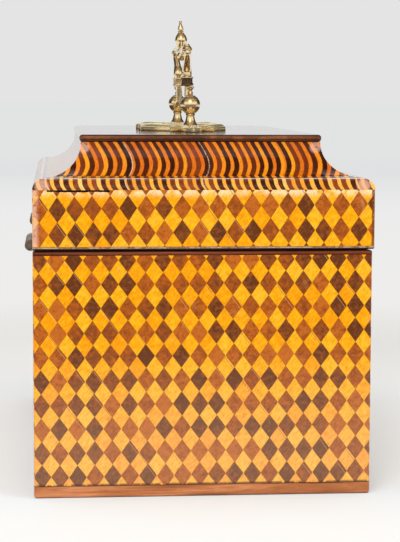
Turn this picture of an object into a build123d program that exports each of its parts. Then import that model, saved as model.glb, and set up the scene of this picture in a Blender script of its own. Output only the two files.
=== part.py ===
# Georgian parquetry tea caddy: a hinged box with a moulded lid and a rococo brass bail handle.
# Frame: X runs along the length, -Y is the front with the lock, +Y the hinged back, Z is up.
# The origin is the middle of the underside. Lengths are in millimetres.
import os
from collections import namedtuple
from math import cos, radians, sin, tan

from build123d import *

os.makedirs("parts", exist_ok=True)

# Body
body_length = 240.0
body_depth = 140.0
body_height = 102.4
wall_board = 7.0
bottom_board = 5.0
veneer = 1.5
corner_radius = 1.2
base_strip_height = 5.2
rim_band_height = 1.8
rim_rounding = 1.0
base_rounding = 1.2

# Lining, partitions and the lids over the tea
lining = 4.0
ledge_width = 2.0
ledge_depth = 10.4
lip_rise = 3.5
lip_chamfer = 0.6
lip_clearance = 0.4
partition = 5.0
well_width = 58.0
inner_lid_thickness = 4.0
inner_lid_spigot = 4.0
inner_lid_clearance = 0.4
knob_radius = 3.6
knob_height = 9.5
knob_neck_radius = 1.7
knob_base_radius = 3.4
knob_base_height = 1.2
knob_peg_radius = 1.5

# Lid
lid_gap = 0.5
lid_front_overhang = 0.8
lid_end_overhang = 0.4
frieze_height = 24.5
frieze_arris = 0.5
ovolo_height = 4.8
ovolo_projection = 5.6
band_width = 4.2
band_rise = 0.5
cavetto_foot = 0.25
cavetto_radius = 13.9
cavetto_sweep = 75.0
cavetto_backing = 3.0
deck_thickness = 3.1
deck_corner = 1.6
deck_rounding = 1.4
nosing_projection = 0.6

# Hinges
hinge_length = 38.0
hinge_from_end = 48.0
hinge_knuckles = 5
hinge_setback = 1.3
leaf_thickness = 1.2
leaf_cover = 8.0
knuckle_radius = 2.3
knuckle_gap = 0.15
knuckle_recess = 0.3
pin_radius = 1.1
pin_clearance = 0.05

# Lock
lock_length = 38.0
lock_height = 21.0
lock_depth = 4.6
lock_wall = 0.8
lock_plate_length = 50.0
lock_plate_width = 6.0
lock_plate_thickness = 1.2
hook_spacing = 18.0
hook_width = 4.0
hook_thickness = 1.6
hook_drop = 8.0
hook_toe = 1.7
hook_slack = 0.5
notch_depth = 2.9
notch_height = 2.6
bolt_thickness = 2.4
bolt_height = 3.2
bolt_tail = 4.0
bolt_drop = 1.0
bolt_throw = 3.0
bolt_slack = 0.4
finger_slack = 0.3
riser_width = 2.0
talon_radius = 1.3
keyhole_depth = 15.2
keyhole_radius = 1.9
keyhole_slot_width = 1.9
keyhole_slot_drop = 5.0
key_pin_radius = 0.8
escutcheon_rim = 0.9

# Handle
post_spacing = 82.5
post_base_radius = 4.2
post_base_height = 0.8
post_cove_radius = 2.5
post_cove_level = 2.2
post_cove_top = 4.8
post_stem_radius = 1.85
ball_radius = 4.45
ball_height = 12.1
post_neck_radius = 1.3
post_button_radius = 1.85
post_top = 8.4
stud_radius = 1.5
stud_clearance = 0.2
nut_width = 7.0
nut_thickness = 2.6
stud_end = 0.8
plate_thickness = 2.0
plate_length = 124.0
plate_front_reach = 17.8
plate_back_reach = 22.1
plate_boss_radius = 6.6
end_leaf_bow = 4.6
side_leaf_run = 12.0
side_leaf_reach = 10.0
side_leaf_bow = 1.5
curl_offset = 13.5
curl_radius = 3.4
curl_eye_radius = 1.1
outer_scroll_bows = (6.6, 2.6)
inner_scroll_bows = (4.6, 1.6)
spine_scroll_bows = (3.6, -1.2)
spine_start = 24.0
spine_half_width = 2.9
cartouche_half_length = 9.0
cartouche_half_width = 11.0
cartouche_hole = (4.2, 6.2)
shell_lobe_radius = 2.7
shell_lobes = ((0.0, 13.0), (5.2, 11.0))
bail_radius = 1.7
bail_height = 39.2
bail_crown = 24.8
bail_lean = 2.4
bail_neck_inset = 8.5
bail_neck_lean = 1.0
bail_neck_drop = 6.5
bail_shoulder_inset = 4.8
bail_shoulder_drop = 2.8
bail_shoulder_lean = 2.0
bail_shoulder_rise = 2.2
bail_crown_run = 12.0
bend_share = 0.45
bail_boss_radius = 2.3
bail_boss_length = 3.0
bail_boss_gap = 0.3
pivot_radius = 1.2
pivot_clearance = 0.05
pivot_depth = 3.4
collar_radius = 2.9
collar_length = 4.2
collar_height = 10.6
knop_radius = 2.3
pendant_drop = 4.4
pendant_radius = 2.2
vase_radius = 2.85
vase_level = 5.4
vase_neck_radius = 1.4
vase_neck_level = 9.4
spire_radius = 1.05
finial_neck_radius = 0.45
finial_tip_radius = 0.75

# Levels and plans that follow from the sizes
UP = Vector(0, 0, 1)
carcase_length = body_length - 2 * veneer
carcase_depth = body_depth - 2 * veneer
inside_length = carcase_length - 2 * wall_board
inside_depth = carcase_depth - 2 * wall_board
room_length = inside_length - 2 * lining
room_depth = inside_depth - 2 * lining
rim = body_height
ledge = rim - ledge_depth
partition_top = ledge + inner_lid_thickness
partition_x = (well_width + partition) / 2

lid_length = body_length + 2 * lid_end_overhang
lid_depth = body_depth + lid_front_overhang
lid_y = -lid_front_overhang / 2
lid_board = wall_board - lip_clearance
lid_bottom = rim + lid_gap
frieze_top = lid_bottom + frieze_height
crease = frieze_top + ovolo_height + band_rise
deck_bottom = crease + cavetto_foot + cavetto_radius * sin(radians(cavetto_sweep))
deck_top = deck_bottom + deck_thickness
cavetto_foot_inset = ovolo_projection + band_width
cavetto_top_inset = cavetto_foot_inset + cavetto_radius * (1 - cos(radians(cavetto_sweep)))
deck_inset = cavetto_top_inset - nosing_projection

hinge_y = body_depth / 2 + hinge_setback
leaf_y = body_depth / 2 - leaf_cover

Side = namedtuple("Side", "name inward middle half_run")


def sides(length, depth, centre_y=0.0):
    """The four sides of a plan rectangle, seen from its front."""
    return [
        Side("front", Vector(0, 1, 0), Vector(0, centre_y - depth / 2, 0), length / 2),
        Side("back", Vector(0, -1, 0), Vector(0, centre_y + depth / 2, 0), length / 2),
        Side("left", Vector(1, 0, 0), Vector(-length / 2, centre_y, 0), depth / 2),
        Side("right", Vector(-1, 0, 0), Vector(length / 2, centre_y, 0), depth / 2),
    ]


def section_plane(side):
    """Upright plane across a side: local x is the inset from its face, local y the height."""
    return Plane(origin=side.middle, x_dir=side.inward, z_dir=side.inward.cross(UP))


def mitre_planes(side):
    """The two 45 degree planes that end a mitred piece, facing the piece."""
    run = side.inward.cross(UP)
    return [
        Plane(origin=side.middle + run * end * side.half_run, z_dir=run * -end - side.inward)
        for end in (-1, 1)
    ]


def mitred_strip(side, section):
    """A strip with the given section along one side, mitred at both ends."""
    with BuildPart() as strip:
        with BuildSketch(section_plane(side)):
            add(section)
        extrude(amount=side.half_run, both=True)
        for plane in mitre_planes(side):
            split(bisect_by=plane, keep=Keep.TOP)
    return strip


def mitred_skin(side, length, depth, centre_y, bottom, height, top_round=0.0, bottom_round=0.0):
    """One side of a thin skin round the box, with rounded corners and mitred ends."""
    with BuildPart() as skin:
        with BuildSketch(Plane.XY.offset(bottom)):
            with Locations((0, centre_y)):
                RectangleRounded(length, depth, corner_radius)
        extrude(amount=height)
        if top_round:
            fillet(skin.faces().sort_by(Axis.Z)[-1].edges(), top_round)
        if bottom_round:
            fillet(skin.faces().sort_by(Axis.Z)[0].edges(), bottom_round)
        with BuildSketch(Plane.XY.offset(bottom)):
            with Locations((0, centre_y)):
                Rectangle(length - 2 * veneer, depth - 2 * veneer)
        extrude(amount=height, mode=Mode.SUBTRACT)
        for plane in mitre_planes(side) + [Plane(origin=(0, centre_y, 0), z_dir=side.inward * -1)]:
            split(bisect_by=plane, keep=Keep.TOP)
    return skin


def write(builder, label):
    """Label a finished piece and write it to its own file."""
    builder.part.label = label
    export_step(builder.part, f"parts/{label}.step")


def ball_foot(level, radius, neck):
    """Where a ball at a level on a turning's axis meets the neck below it."""
    return (neck, level - (radius**2 - neck**2) ** 0.5)


def keyhole(margin=0.0):
    """The keyhole's outline: a round with a slot below it, grown by a margin."""
    with BuildSketch() as outline:
        Circle(keyhole_radius + margin)
        with Locations((0, -keyhole_slot_drop / 2)):
            Rectangle(keyhole_slot_width + 2 * margin, keyhole_slot_drop + 2 * margin)
    return outline.sketch


# Recesses that the hinges are let into
hinge_x = body_length / 2 - hinge_from_end
hinge_places = [-hinge_x, hinge_x]

with BuildPart() as lower_leaf_recess:
    with BuildSketch(Plane.XY.offset(rim - leaf_thickness)):
        with Locations(*[(x, (leaf_y + hinge_y) / 2) for x in hinge_places]):
            Rectangle(hinge_length, hinge_y - leaf_y)
    extrude(amount=leaf_thickness)

with BuildPart() as upper_leaf_recess:
    with BuildSketch(Plane.XY.offset(lid_bottom)):
        with Locations(*[(x, (leaf_y + hinge_y) / 2) for x in hinge_places]):
            Rectangle(hinge_length, hinge_y - leaf_y)
    extrude(amount=leaf_thickness)

with BuildPart() as knuckle_recesses:
    for x in hinge_places:
        with BuildSketch(Plane.YZ.offset(x)):
            with Locations((hinge_y, rim)):
                Circle(knuckle_radius + knuckle_recess)
        extrude(amount=hinge_length / 2 + knuckle_recess, both=True)

# Carcase of plain boards
with BuildPart() as carcase_bottom:
    with BuildSketch():
        Rectangle(carcase_length, carcase_depth)
    extrude(amount=bottom_board)
write(carcase_bottom, "carcase_bottom")

wall_height = rim - bottom_board
lock_plane_y = -inside_depth / 2
lock_top = rim - lock_plate_thickness
keyhole_z = rim - keyhole_depth

with BuildPart() as carcase_front:
    with BuildSketch(Plane.XY.offset(bottom_board)):
        with Locations((0, lock_plane_y - wall_board / 2)):
            Rectangle(carcase_length, wall_board)
    extrude(amount=wall_height)
    with BuildSketch(Plane.XY.offset(rim)):
        with Locations((0, lock_plane_y)):
            Rectangle(lock_length, lock_depth, align=(Align.CENTER, Align.MAX))
    extrude(amount=-lock_height, mode=Mode.SUBTRACT)
    with BuildSketch(Plane.XY.offset(rim)):
        with Locations((0, lock_plane_y)):
            Rectangle(lock_plate_length, lock_plate_width, align=(Align.CENTER, Align.MAX))
    extrude(amount=-lock_plate_thickness, mode=Mode.SUBTRACT)
    with BuildSketch(Plane.XZ.offset(inside_depth / 2)):
        with Locations((0, keyhole_z)):
            add(keyhole())
    extrude(amount=wall_board, mode=Mode.SUBTRACT)
write(carcase_front, "carcase_front")

with BuildPart() as carcase_back:
    with BuildSketch(Plane.XY.offset(bottom_board)):
        with Locations((0, inside_depth / 2 + wall_board / 2)):
            Rectangle(carcase_length, wall_board)
    extrude(amount=wall_height)
    add(lower_leaf_recess.part, mode=Mode.SUBTRACT)
write(carcase_back, "carcase_back")

for name, x in (("left", -1), ("right", 1)):
    with BuildPart() as carcase_end:
        with BuildSketch(Plane.XY.offset(bottom_board)):
            with Locations((x * (inside_length + wall_board) / 2, 0)):
                Rectangle(wall_board, inside_depth)
        extrude(amount=wall_height)
    write(carcase_end, f"carcase_{name}_end")

# Skins of the body: mahogany base strips, parquetry veneers and the rounded banding of the rim
parquetry_height = rim - rim_band_height - base_strip_height

for side in sides(body_length, body_depth):
    base_strip = mitred_skin(side, body_length, body_depth, 0, 0, base_strip_height,
                             bottom_round=base_rounding)
    write(base_strip, f"base_strip_{side.name}")

    with BuildPart() as parquetry:
        add(mitred_skin(side, body_length, body_depth, 0, base_strip_height, parquetry_height).part)
        if side.name == "front":
            with BuildSketch(Plane.XZ.offset(body_depth / 2)):
                with Locations((0, keyhole_z)):
                    add(keyhole(escutcheon_rim))
            extrude(amount=-veneer, mode=Mode.SUBTRACT)
        add(knuckle_recesses.part, mode=Mode.SUBTRACT)
    write(parquetry, f"parquetry_{side.name}")

    with BuildPart() as rim_band:
        add(mitred_skin(side, body_length, body_depth, 0, rim - rim_band_height, rim_band_height,
                        top_round=rim_rounding).part)
        add(lower_leaf_recess.part, mode=Mode.SUBTRACT)
        add(knuckle_recesses.part, mode=Mode.SUBTRACT)
    write(rim_band, f"rim_band_{side.name}")

# Lining boards: a ledge for the tea lids and a lip that locates the main lid
with BuildSketch() as lining_section:
    with BuildLine():
        Polyline(
            (0, bottom_board),
            (lining, bottom_board),
            (lining, ledge),
            (lining - ledge_width, ledge),
            (lining - ledge_width, rim + lip_rise),
            (lip_chamfer, rim + lip_rise),
            (0, rim + lip_rise - lip_chamfer),
            close=True,
        )
    make_face()

for side in sides(inside_length, inside_depth):
    write(mitred_strip(side, lining_section.sketch), f"lining_{side.name}")

# Partitions between the tea compartments and the middle well
for name, hand in (("left", -1), ("right", 1)):
    with BuildPart() as partition_wall:
        with BuildSketch(Plane.XZ):
            with Locations((hand * partition_x, bottom_board)):
                Rectangle(partition, partition_top - bottom_board, align=(Align.CENTER, Align.MIN))
            with Locations((hand * (partition_x + partition / 2), ledge)):
                Rectangle(2 * ledge_width, partition_top - ledge, align=(Align.CENTER, Align.MIN),
                          mode=Mode.SUBTRACT)
        extrude(amount=room_depth / 2, both=True)
    write(partition_wall, f"partition_{name}")

# Lift-out lids over the tea, each with a turned knob
room_near = well_width / 2 + partition
room_far = room_length / 2
seat_near = room_near - ledge_width
seat_far = room_far + ledge_width
seat_depth = room_depth + 2 * ledge_width
lid_centre = (seat_near + seat_far) / 2

for name, hand in (("left", -1), ("right", 1)):
    with BuildPart() as tea_lid:
        with BuildSketch(Plane.XY.offset(ledge)):
            with Locations((hand * lid_centre, 0)):
                Rectangle(seat_far - seat_near - 2 * inner_lid_clearance,
                          seat_depth - 2 * inner_lid_clearance)
        extrude(amount=inner_lid_thickness)
        with BuildSketch(Plane.XY.offset(ledge)):
            with Locations((hand * (room_near + room_far) / 2, 0)):
                Rectangle(room_far - room_near - 2 * inner_lid_clearance,
                          room_depth - 2 * inner_lid_clearance)
        extrude(amount=-inner_lid_spigot)
        fillet(tea_lid.faces().sort_by(Axis.Z)[-1].edges(), inner_lid_thickness / 4)
        with Locations((hand * lid_centre, 0, ledge + inner_lid_thickness)):
            Hole(knob_peg_radius, depth=inner_lid_thickness)
    write(tea_lid, f"tea_lid_{name}")

    with BuildPart() as knob:
        knob_foot = (hand * lid_centre, 0, partition_top)
        knob_plane = Plane(origin=knob_foot, x_dir=(1, 0, 0), z_dir=(0, -1, 0))
        with BuildSketch(knob_plane):
            with BuildLine():
                knob_neck = ball_foot(knob_height - knob_radius, knob_radius, knob_neck_radius)
                Polyline(
                    (0, -inner_lid_thickness),
                    (knob_peg_radius, -inner_lid_thickness),
                    (knob_peg_radius, 0),
                    (knob_base_radius, 0),
                    (knob_base_radius, knob_base_height),
                    (knob_neck_radius, knob_base_height),
                    knob_neck,
                )
                ThreePointArc(knob_neck, (knob_radius, knob_height - knob_radius), (0, knob_height))
                Line((0, knob_height), (0, -inner_lid_thickness))
            make_face()
        revolve(axis=Axis(knob_plane.origin, UP))
    write(knob, f"tea_lid_knob_{name}")

# Lock: a case let into the front board, and a sliding bolt with two fingers
hook_places = [-hook_spacing / 2, hook_spacing / 2]
lock_middle_y = lock_plane_y - lock_depth / 2
cavity_length = lock_length - 2 * lock_wall
cavity_depth = lock_depth - 2 * lock_wall
hook_bottom = lid_bottom - hook_drop
notch_bottom = hook_bottom + hook_toe
bar_top = hook_bottom - bolt_drop
finger_bottom = notch_bottom + finger_slack
finger_height = notch_height - 2 * finger_slack

with BuildPart() as lock_case:
    with BuildSketch(Plane.XY.offset(rim - lock_height)):
        with Locations((0, lock_middle_y)):
            Rectangle(lock_length, lock_depth)
    extrude(amount=lock_height - lock_plate_thickness)
    with BuildSketch(Plane.XY.offset(lock_top)):
        with Locations((0, lock_plane_y)):
            Rectangle(lock_plate_length, lock_plate_width, align=(Align.CENTER, Align.MAX))
    extrude(amount=lock_plate_thickness)
    with BuildSketch(Plane.XY.offset(rim - lock_height + lock_wall)):
        with Locations((0, lock_middle_y)):
            Rectangle(cavity_length, cavity_depth)
    extrude(amount=lock_height - lock_wall - lock_plate_thickness, mode=Mode.SUBTRACT)
    with BuildSketch(Plane.XY.offset(lock_top)):
        with Locations(*[(x, lock_middle_y) for x in hook_places]):
            Rectangle(hook_width + 2 * hook_slack, hook_thickness + 2 * hook_slack)
    extrude(amount=lock_plate_thickness, mode=Mode.SUBTRACT)
    with BuildSketch(Plane.XZ.offset(-lock_middle_y)):
        with Locations((0, keyhole_z)):
            add(keyhole())
    extrude(amount=lock_depth, mode=Mode.SUBTRACT)
    with BuildSketch(Plane.XZ.offset(-lock_plane_y)):
        with Locations((0, keyhole_z)):
            Circle(key_pin_radius)
    extrude(amount=lock_depth)
write(lock_case, "lock_case")

with BuildPart() as lock_bolt:
    with BuildSketch(Plane.XZ.offset(-lock_middle_y)):
        finger_tips = [x - hook_width / 2 - bolt_slack for x in hook_places]
        bar_start = finger_tips[0] - bolt_throw - riser_width
        bar_end = finger_tips[1] + bolt_tail
        with Locations((bar_start, bar_top)):
            Rectangle(bar_end - bar_start, bolt_height, align=(Align.MIN, Align.MAX))
        for tip in finger_tips:
            with Locations((tip - bolt_throw - riser_width, bar_top)):
                Rectangle(riser_width, finger_bottom + finger_height - bar_top, align=Align.MIN)
            with Locations((tip, finger_bottom)):
                Rectangle(bolt_throw + riser_width, finger_height, align=(Align.MAX, Align.MIN))
        with Locations((0, bar_top - bolt_height)):
            Circle(talon_radius, mode=Mode.SUBTRACT)
    extrude(amount=bolt_thickness / 2, both=True)
write(lock_bolt, "lock_bolt")

with BuildPart() as escutcheon:
    with BuildSketch(Plane.XZ.offset(body_depth / 2 - veneer)):
        with Locations((0, keyhole_z)):
            add(keyhole(escutcheon_rim))
            add(keyhole(), mode=Mode.SUBTRACT)
    extrude(amount=veneer)
write(escutcheon, "escutcheon")

# Lid: a frieze frame under a thick moulded board
with BuildPart() as lid_front_board:
    with BuildSketch(Plane.XY.offset(lid_bottom)):
        with Locations((0, lid_y - lid_depth / 2 + veneer)):
            Rectangle(lid_length - 2 * veneer, lid_board, align=(Align.CENTER, Align.MIN))
    extrude(amount=frieze_height)
    with BuildSketch(Plane.XY.offset(lid_bottom)):
        with Locations((0, lock_plane_y)):
            Rectangle(lock_plate_length, lock_plate_width, align=(Align.CENTER, Align.MAX))
    extrude(amount=lock_plate_thickness, mode=Mode.SUBTRACT)
write(lid_front_board, "lid_front_board")

with BuildPart() as lid_back_board:
    with BuildSketch(Plane.XY.offset(lid_bottom)):
        with Locations((0, lid_y + lid_depth / 2 - veneer)):
            Rectangle(lid_length - 2 * veneer, lid_board, align=(Align.CENTER, Align.MAX))
    extrude(amount=frieze_height)
    add(upper_leaf_recess.part, mode=Mode.SUBTRACT)
write(lid_back_board, "lid_back_board")

for name, hand in (("left", -1), ("right", 1)):
    with BuildPart() as lid_end_board:
        with BuildSketch(Plane.XY.offset(lid_bottom)):
            with Locations((hand * (lid_length / 2 - veneer - lid_board / 2), lid_y)):
                Rectangle(lid_board, lid_depth - 2 * veneer - 2 * lid_board)
        extrude(amount=frieze_height)
    write(lid_end_board, f"lid_{name}_end_board")

# Mouldings of the lid: an ovolo with a flat band on top, then a hollow cavetto up to the deck
with BuildSketch() as ovolo_section:
    with BuildLine():
        EllipticalCenterArc((ovolo_projection, frieze_top), ovolo_projection, ovolo_height,
                            start_angle=90, arc_size=90)
        Polyline(
            (0, frieze_top),
            (cavetto_foot_inset, frieze_top),
            (cavetto_foot_inset, crease),
            (ovolo_projection, frieze_top + ovolo_height),
        )
    make_face()

board_inset = cavetto_top_inset + cavetto_backing

with BuildSketch() as cavetto_section:
    with BuildLine():
        CenterArc((cavetto_top_inset - cavetto_radius, deck_bottom), cavetto_radius,
                  start_angle=0, arc_size=-cavetto_sweep)
        Polyline(
            (cavetto_foot_inset, crease + cavetto_foot),
            (cavetto_foot_inset, crease),
            (board_inset, crease),
            (board_inset, deck_bottom),
            (cavetto_top_inset, deck_bottom),
        )
    make_face()

for side in sides(lid_length, lid_depth, lid_y):
    with BuildPart() as lid_parquetry:
        add(mitred_skin(side, lid_length, lid_depth, lid_y, lid_bottom, frieze_height,
                        bottom_round=frieze_arris).part)
        add(upper_leaf_recess.part, mode=Mode.SUBTRACT)
        add(knuckle_recesses.part, mode=Mode.SUBTRACT)
    write(lid_parquetry, f"lid_parquetry_{side.name}")
    write(mitred_strip(side, ovolo_section.sketch), f"ovolo_{side.name}")
    write(mitred_strip(side, cavetto_section.sketch), f"cavetto_{side.name}")

post_places = [(-post_spacing / 2, lid_y), (post_spacing / 2, lid_y)]

with BuildPart() as lid_top_board:
    with BuildSketch(Plane.XY.offset(frieze_top)):
        with Locations((0, lid_y)):
            Rectangle(lid_length - 2 * cavetto_foot_inset, lid_depth - 2 * cavetto_foot_inset)
    extrude(amount=crease - frieze_top)
    with BuildSketch(Plane.XY.offset(crease)):
        with Locations((0, lid_y)):
            Rectangle(lid_length - 2 * board_inset, lid_depth - 2 * board_inset)
    extrude(amount=deck_bottom - crease)
    with Locations(*[(x, y, deck_bottom) for x, y in post_places]):
        Hole(stud_radius + stud_clearance)
write(lid_top_board, "lid_top_board")

with BuildPart() as deck_panel:
    with BuildSketch(Plane.XY.offset(deck_bottom)):
        with Locations((0, lid_y)):
            RectangleRounded(lid_length - 2 * deck_inset, lid_depth - 2 * deck_inset, deck_corner)
    extrude(amount=deck_thickness)
    fillet(deck_panel.faces().filter_by(Axis.Z).edges(), deck_rounding)
    with Locations(*[(x, y, deck_top) for x, y in post_places]):
        Hole(stud_radius + stud_clearance)
write(deck_panel, "deck_panel")

# Hook plate under the lid's front edge: two hooks that drop into the lock
with BuildPart() as lock_hook_plate:
    with BuildSketch(Plane.XY.offset(lid_bottom)):
        with Locations((0, lock_plane_y)):
            Rectangle(lock_plate_length, lock_plate_width, align=(Align.CENTER, Align.MAX))
        with Locations((0, -inside_depth / 2)):
            Rectangle(lock_plate_length, lip_clearance + lid_front_overhang,
                      align=(Align.CENTER, Align.MAX), mode=Mode.SUBTRACT)
    extrude(amount=lock_plate_thickness)
    with BuildSketch(Plane.XZ.offset(-lock_middle_y)):
        for x in hook_places:
            with Locations((x, hook_bottom)):
                Rectangle(hook_width, hook_drop, align=(Align.CENTER, Align.MIN))
            with Locations((x - hook_width / 2, notch_bottom)):
                Rectangle(notch_depth, notch_height, align=Align.MIN, mode=Mode.SUBTRACT)
    extrude(amount=hook_thickness / 2, both=True)
write(lock_hook_plate, "lock_hook_plate")

# Butt hinges: the lower leaf has the odd knuckles, the upper leaf the even ones
knuckle_pitch = hinge_length / hinge_knuckles


def hinge_leaf(x, bottom, first_knuckle):
    """A leaf with every second knuckle, let in flat and hung on the axis behind the back."""
    places = [x + knuckle_pitch * (n - (hinge_knuckles - 1) / 2) for n in range(hinge_knuckles)]
    own = places[first_knuckle::2]
    others = places[1 - first_knuckle::2]
    with BuildPart() as leaf:
        with BuildSketch(Plane.XY.offset(bottom)):
            with Locations((x, leaf_y)):
                Rectangle(hinge_length, hinge_y - leaf_y, align=(Align.CENTER, Align.MIN))
        extrude(amount=leaf_thickness)
        for place in own:
            with BuildSketch(Plane.YZ.offset(place)):
                with Locations((hinge_y, rim)):
                    Circle(knuckle_radius)
            extrude(amount=(knuckle_pitch - knuckle_gap) / 2, both=True)
        for place in others:
            with BuildSketch(Plane.YZ.offset(place)):
                with Locations((hinge_y, rim)):
                    Circle(knuckle_radius + knuckle_recess)
            extrude(amount=(knuckle_pitch + knuckle_gap) / 2, both=True, mode=Mode.SUBTRACT)
        with BuildSketch(Plane.YZ.offset(x)):
            with Locations((hinge_y, rim)):
                Circle(pin_radius + pin_clearance)
        extrude(amount=hinge_length / 2, both=True, mode=Mode.SUBTRACT)
    return leaf


for name, x in zip(("left", "right"), hinge_places):
    write(hinge_leaf(x, rim - leaf_thickness, 0), f"hinge_lower_leaf_{name}")
    write(hinge_leaf(x, lid_bottom, 1), f"hinge_upper_leaf_{name}")
    with BuildPart() as hinge_pin:
        with BuildSketch(Plane.YZ.offset(x)):
            with Locations((hinge_y, rim)):
                Circle(pin_radius)
        extrude(amount=hinge_length / 2 + knuckle_gap, both=True)
    write(hinge_pin, f"hinge_pin_{name}")

# Handle: rococo back plate, two turned posts with studs and nuts, and the swan-neck bail
pivot_z = deck_top + ball_height
plate_top = deck_top + plate_thickness
post_x = post_spacing / 2


def scroll(tail, tip, bows):
    """A leaf or scroll from tail to tip; its two edges bow out to the left of the run."""
    run = Vector(*tip) - Vector(*tail)
    middle = (Vector(*tail) + Vector(*tip)) / 2
    left = Vector(-run.Y, run.X).normalized()
    with BuildSketch() as outline:
        with BuildLine():
            ThreePointArc(tail, middle + left * bows[0], tip)
            ThreePointArc(tip, middle + left * bows[1], tail)
        make_face()
    return outline.sketch


with BuildPart() as handle_plate:
    with BuildSketch(Plane.XY.offset(deck_top)):
        with Locations((0, lid_y)):
            Ellipse(cartouche_half_length, cartouche_half_width)
            for end in (-1, 1):
                add(scroll((end * cartouche_half_length / 2, 0), (end * post_x, 0),
                           (spine_half_width, -spine_half_width)))
                add(scroll((end * post_x, 0), (end * plate_length / 2, 0), (end_leaf_bow, -end_leaf_bow)))
                with Locations((end * post_x, 0)):
                    Circle(plate_boss_radius)
                for reach in (-plate_front_reach, plate_back_reach):
                    out = 1 if reach > 0 else -1
                    turn = end * out
                    curl = (end * curl_offset, reach - out * curl_radius)
                    spine_end = (end * spine_start, 0)
                    add(scroll((end * (post_x - curl_radius), out * curl_radius),
                               (curl[0], reach - out * curl_eye_radius),
                               [-turn * bow for bow in outer_scroll_bows]))
                    add(scroll((end * curl_eye_radius, out * cartouche_half_width), curl,
                               [turn * bow for bow in (curl_radius, curl_eye_radius)]))
                    add(scroll(curl, spine_end, [-turn * bow for bow in inner_scroll_bows]))
                    add(scroll(spine_end, (end * post_x, out * curl_radius),
                               [turn * bow for bow in spine_scroll_bows]))
                    add(scroll((end * (post_x + curl_eye_radius), out * curl_radius),
                               (end * (post_x + side_leaf_run), out * side_leaf_reach),
                               (side_leaf_bow, -side_leaf_bow)))
                    with Locations(curl):
                        Circle(curl_radius)
                    with Locations(*[(end * x, out * y) for x, y in shell_lobes]):
                        Circle(shell_lobe_radius)
                    with Locations(curl):
                        Circle(curl_eye_radius, mode=Mode.SUBTRACT)
            Ellipse(*cartouche_hole, mode=Mode.SUBTRACT)
    extrude(amount=plate_thickness)
    with Locations(*[(x, y, plate_top) for x, y in post_places]):
        Hole(stud_radius + stud_clearance)
write(handle_plate, "handle_plate")

nut_top = frieze_top
for name, hand in (("left", -1), ("right", 1)):
    with BuildPart() as handle_post:
        post_plane = Plane(origin=(hand * post_x, lid_y, plate_top), x_dir=(1, 0, 0), z_dir=(0, -1, 0))
        stud_length = plate_top - nut_top + nut_thickness + stud_end
        ball_level = pivot_z - plate_top
        ball_rise = (ball_radius**2 - post_neck_radius**2) ** 0.5
        with BuildSketch(post_plane):
            with BuildLine():
                Polyline(
                    (0, -stud_length),
                    (stud_radius, -stud_length),
                    (stud_radius, 0),
                    (post_base_radius, 0),
                    (post_base_radius, post_base_height),
                )
                ThreePointArc(
                    (post_base_radius, post_base_height),
                    (post_cove_radius, post_cove_level),
                    (post_stem_radius, post_cove_top),
                )
                ball_start = ball_foot(ball_level, ball_radius, post_stem_radius)
                ball_end = (post_neck_radius, ball_level + ball_rise)
                button_level = ball_level + post_top - post_button_radius
                button_start = ball_foot(button_level, post_button_radius, post_neck_radius)
                Line((post_stem_radius, post_cove_top), ball_start)
                ThreePointArc(ball_start, (ball_radius, ball_level), ball_end)
                Line(ball_end, button_start)
                ThreePointArc(button_start, (post_button_radius, button_level),
                              (0, ball_level + post_top))
                Line((0, ball_level + post_top), (0, -stud_length))
            make_face()
        revolve(axis=Axis(post_plane.origin, UP))
        with BuildSketch(Plane.YZ.offset(hand * post_x)):
            with Locations((lid_y, pivot_z)):
                Circle(pivot_radius + pivot_clearance)
        extrude(amount=-hand * ball_radius * 2, mode=Mode.SUBTRACT)
    write(handle_post, f"handle_post_{name}")

with BuildPart() as handle_nuts:
    with BuildSketch(Plane.XY.offset(nut_top)):
        with Locations(*post_places):
            RegularPolygon(nut_width / 2, 6, major_radius=False)
            Circle(stud_radius + pivot_clearance, mode=Mode.SUBTRACT)
    extrude(amount=-nut_thickness)
write(handle_nuts, "handle_nuts")

# The bail hangs between the posts. It is drawn upright about its pivots, then leant back as it rests
boss_end = post_x - ball_radius - bail_boss_gap
neck_x = boss_end - bail_neck_inset
shoulder_x = post_x - bail_shoulder_inset
shoulder_level = bail_crown - bail_shoulder_drop
half_route = [
    (boss_end, 0),
    (neck_x, 0),
    (neck_x - bail_neck_lean, shoulder_level - bail_neck_drop),
    (shoulder_x, shoulder_level),
    (shoulder_x - bail_shoulder_lean, bail_crown + bail_shoulder_rise),
    (bail_crown_run, bail_crown),
    (0, bail_crown),
]


def bend_radii(route):
    """Radii of a route's bends, each as large as its two runs allow."""
    radii = []
    for before, here, after in zip(route, route[1:], route[2:]):
        turn = (here - before).get_angle(after - here)
        shorter_run = min((here - before).length, (after - here).length)
        radii.append(bend_share * shorter_run / tan(radians(turn / 2)))
    return radii


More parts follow.
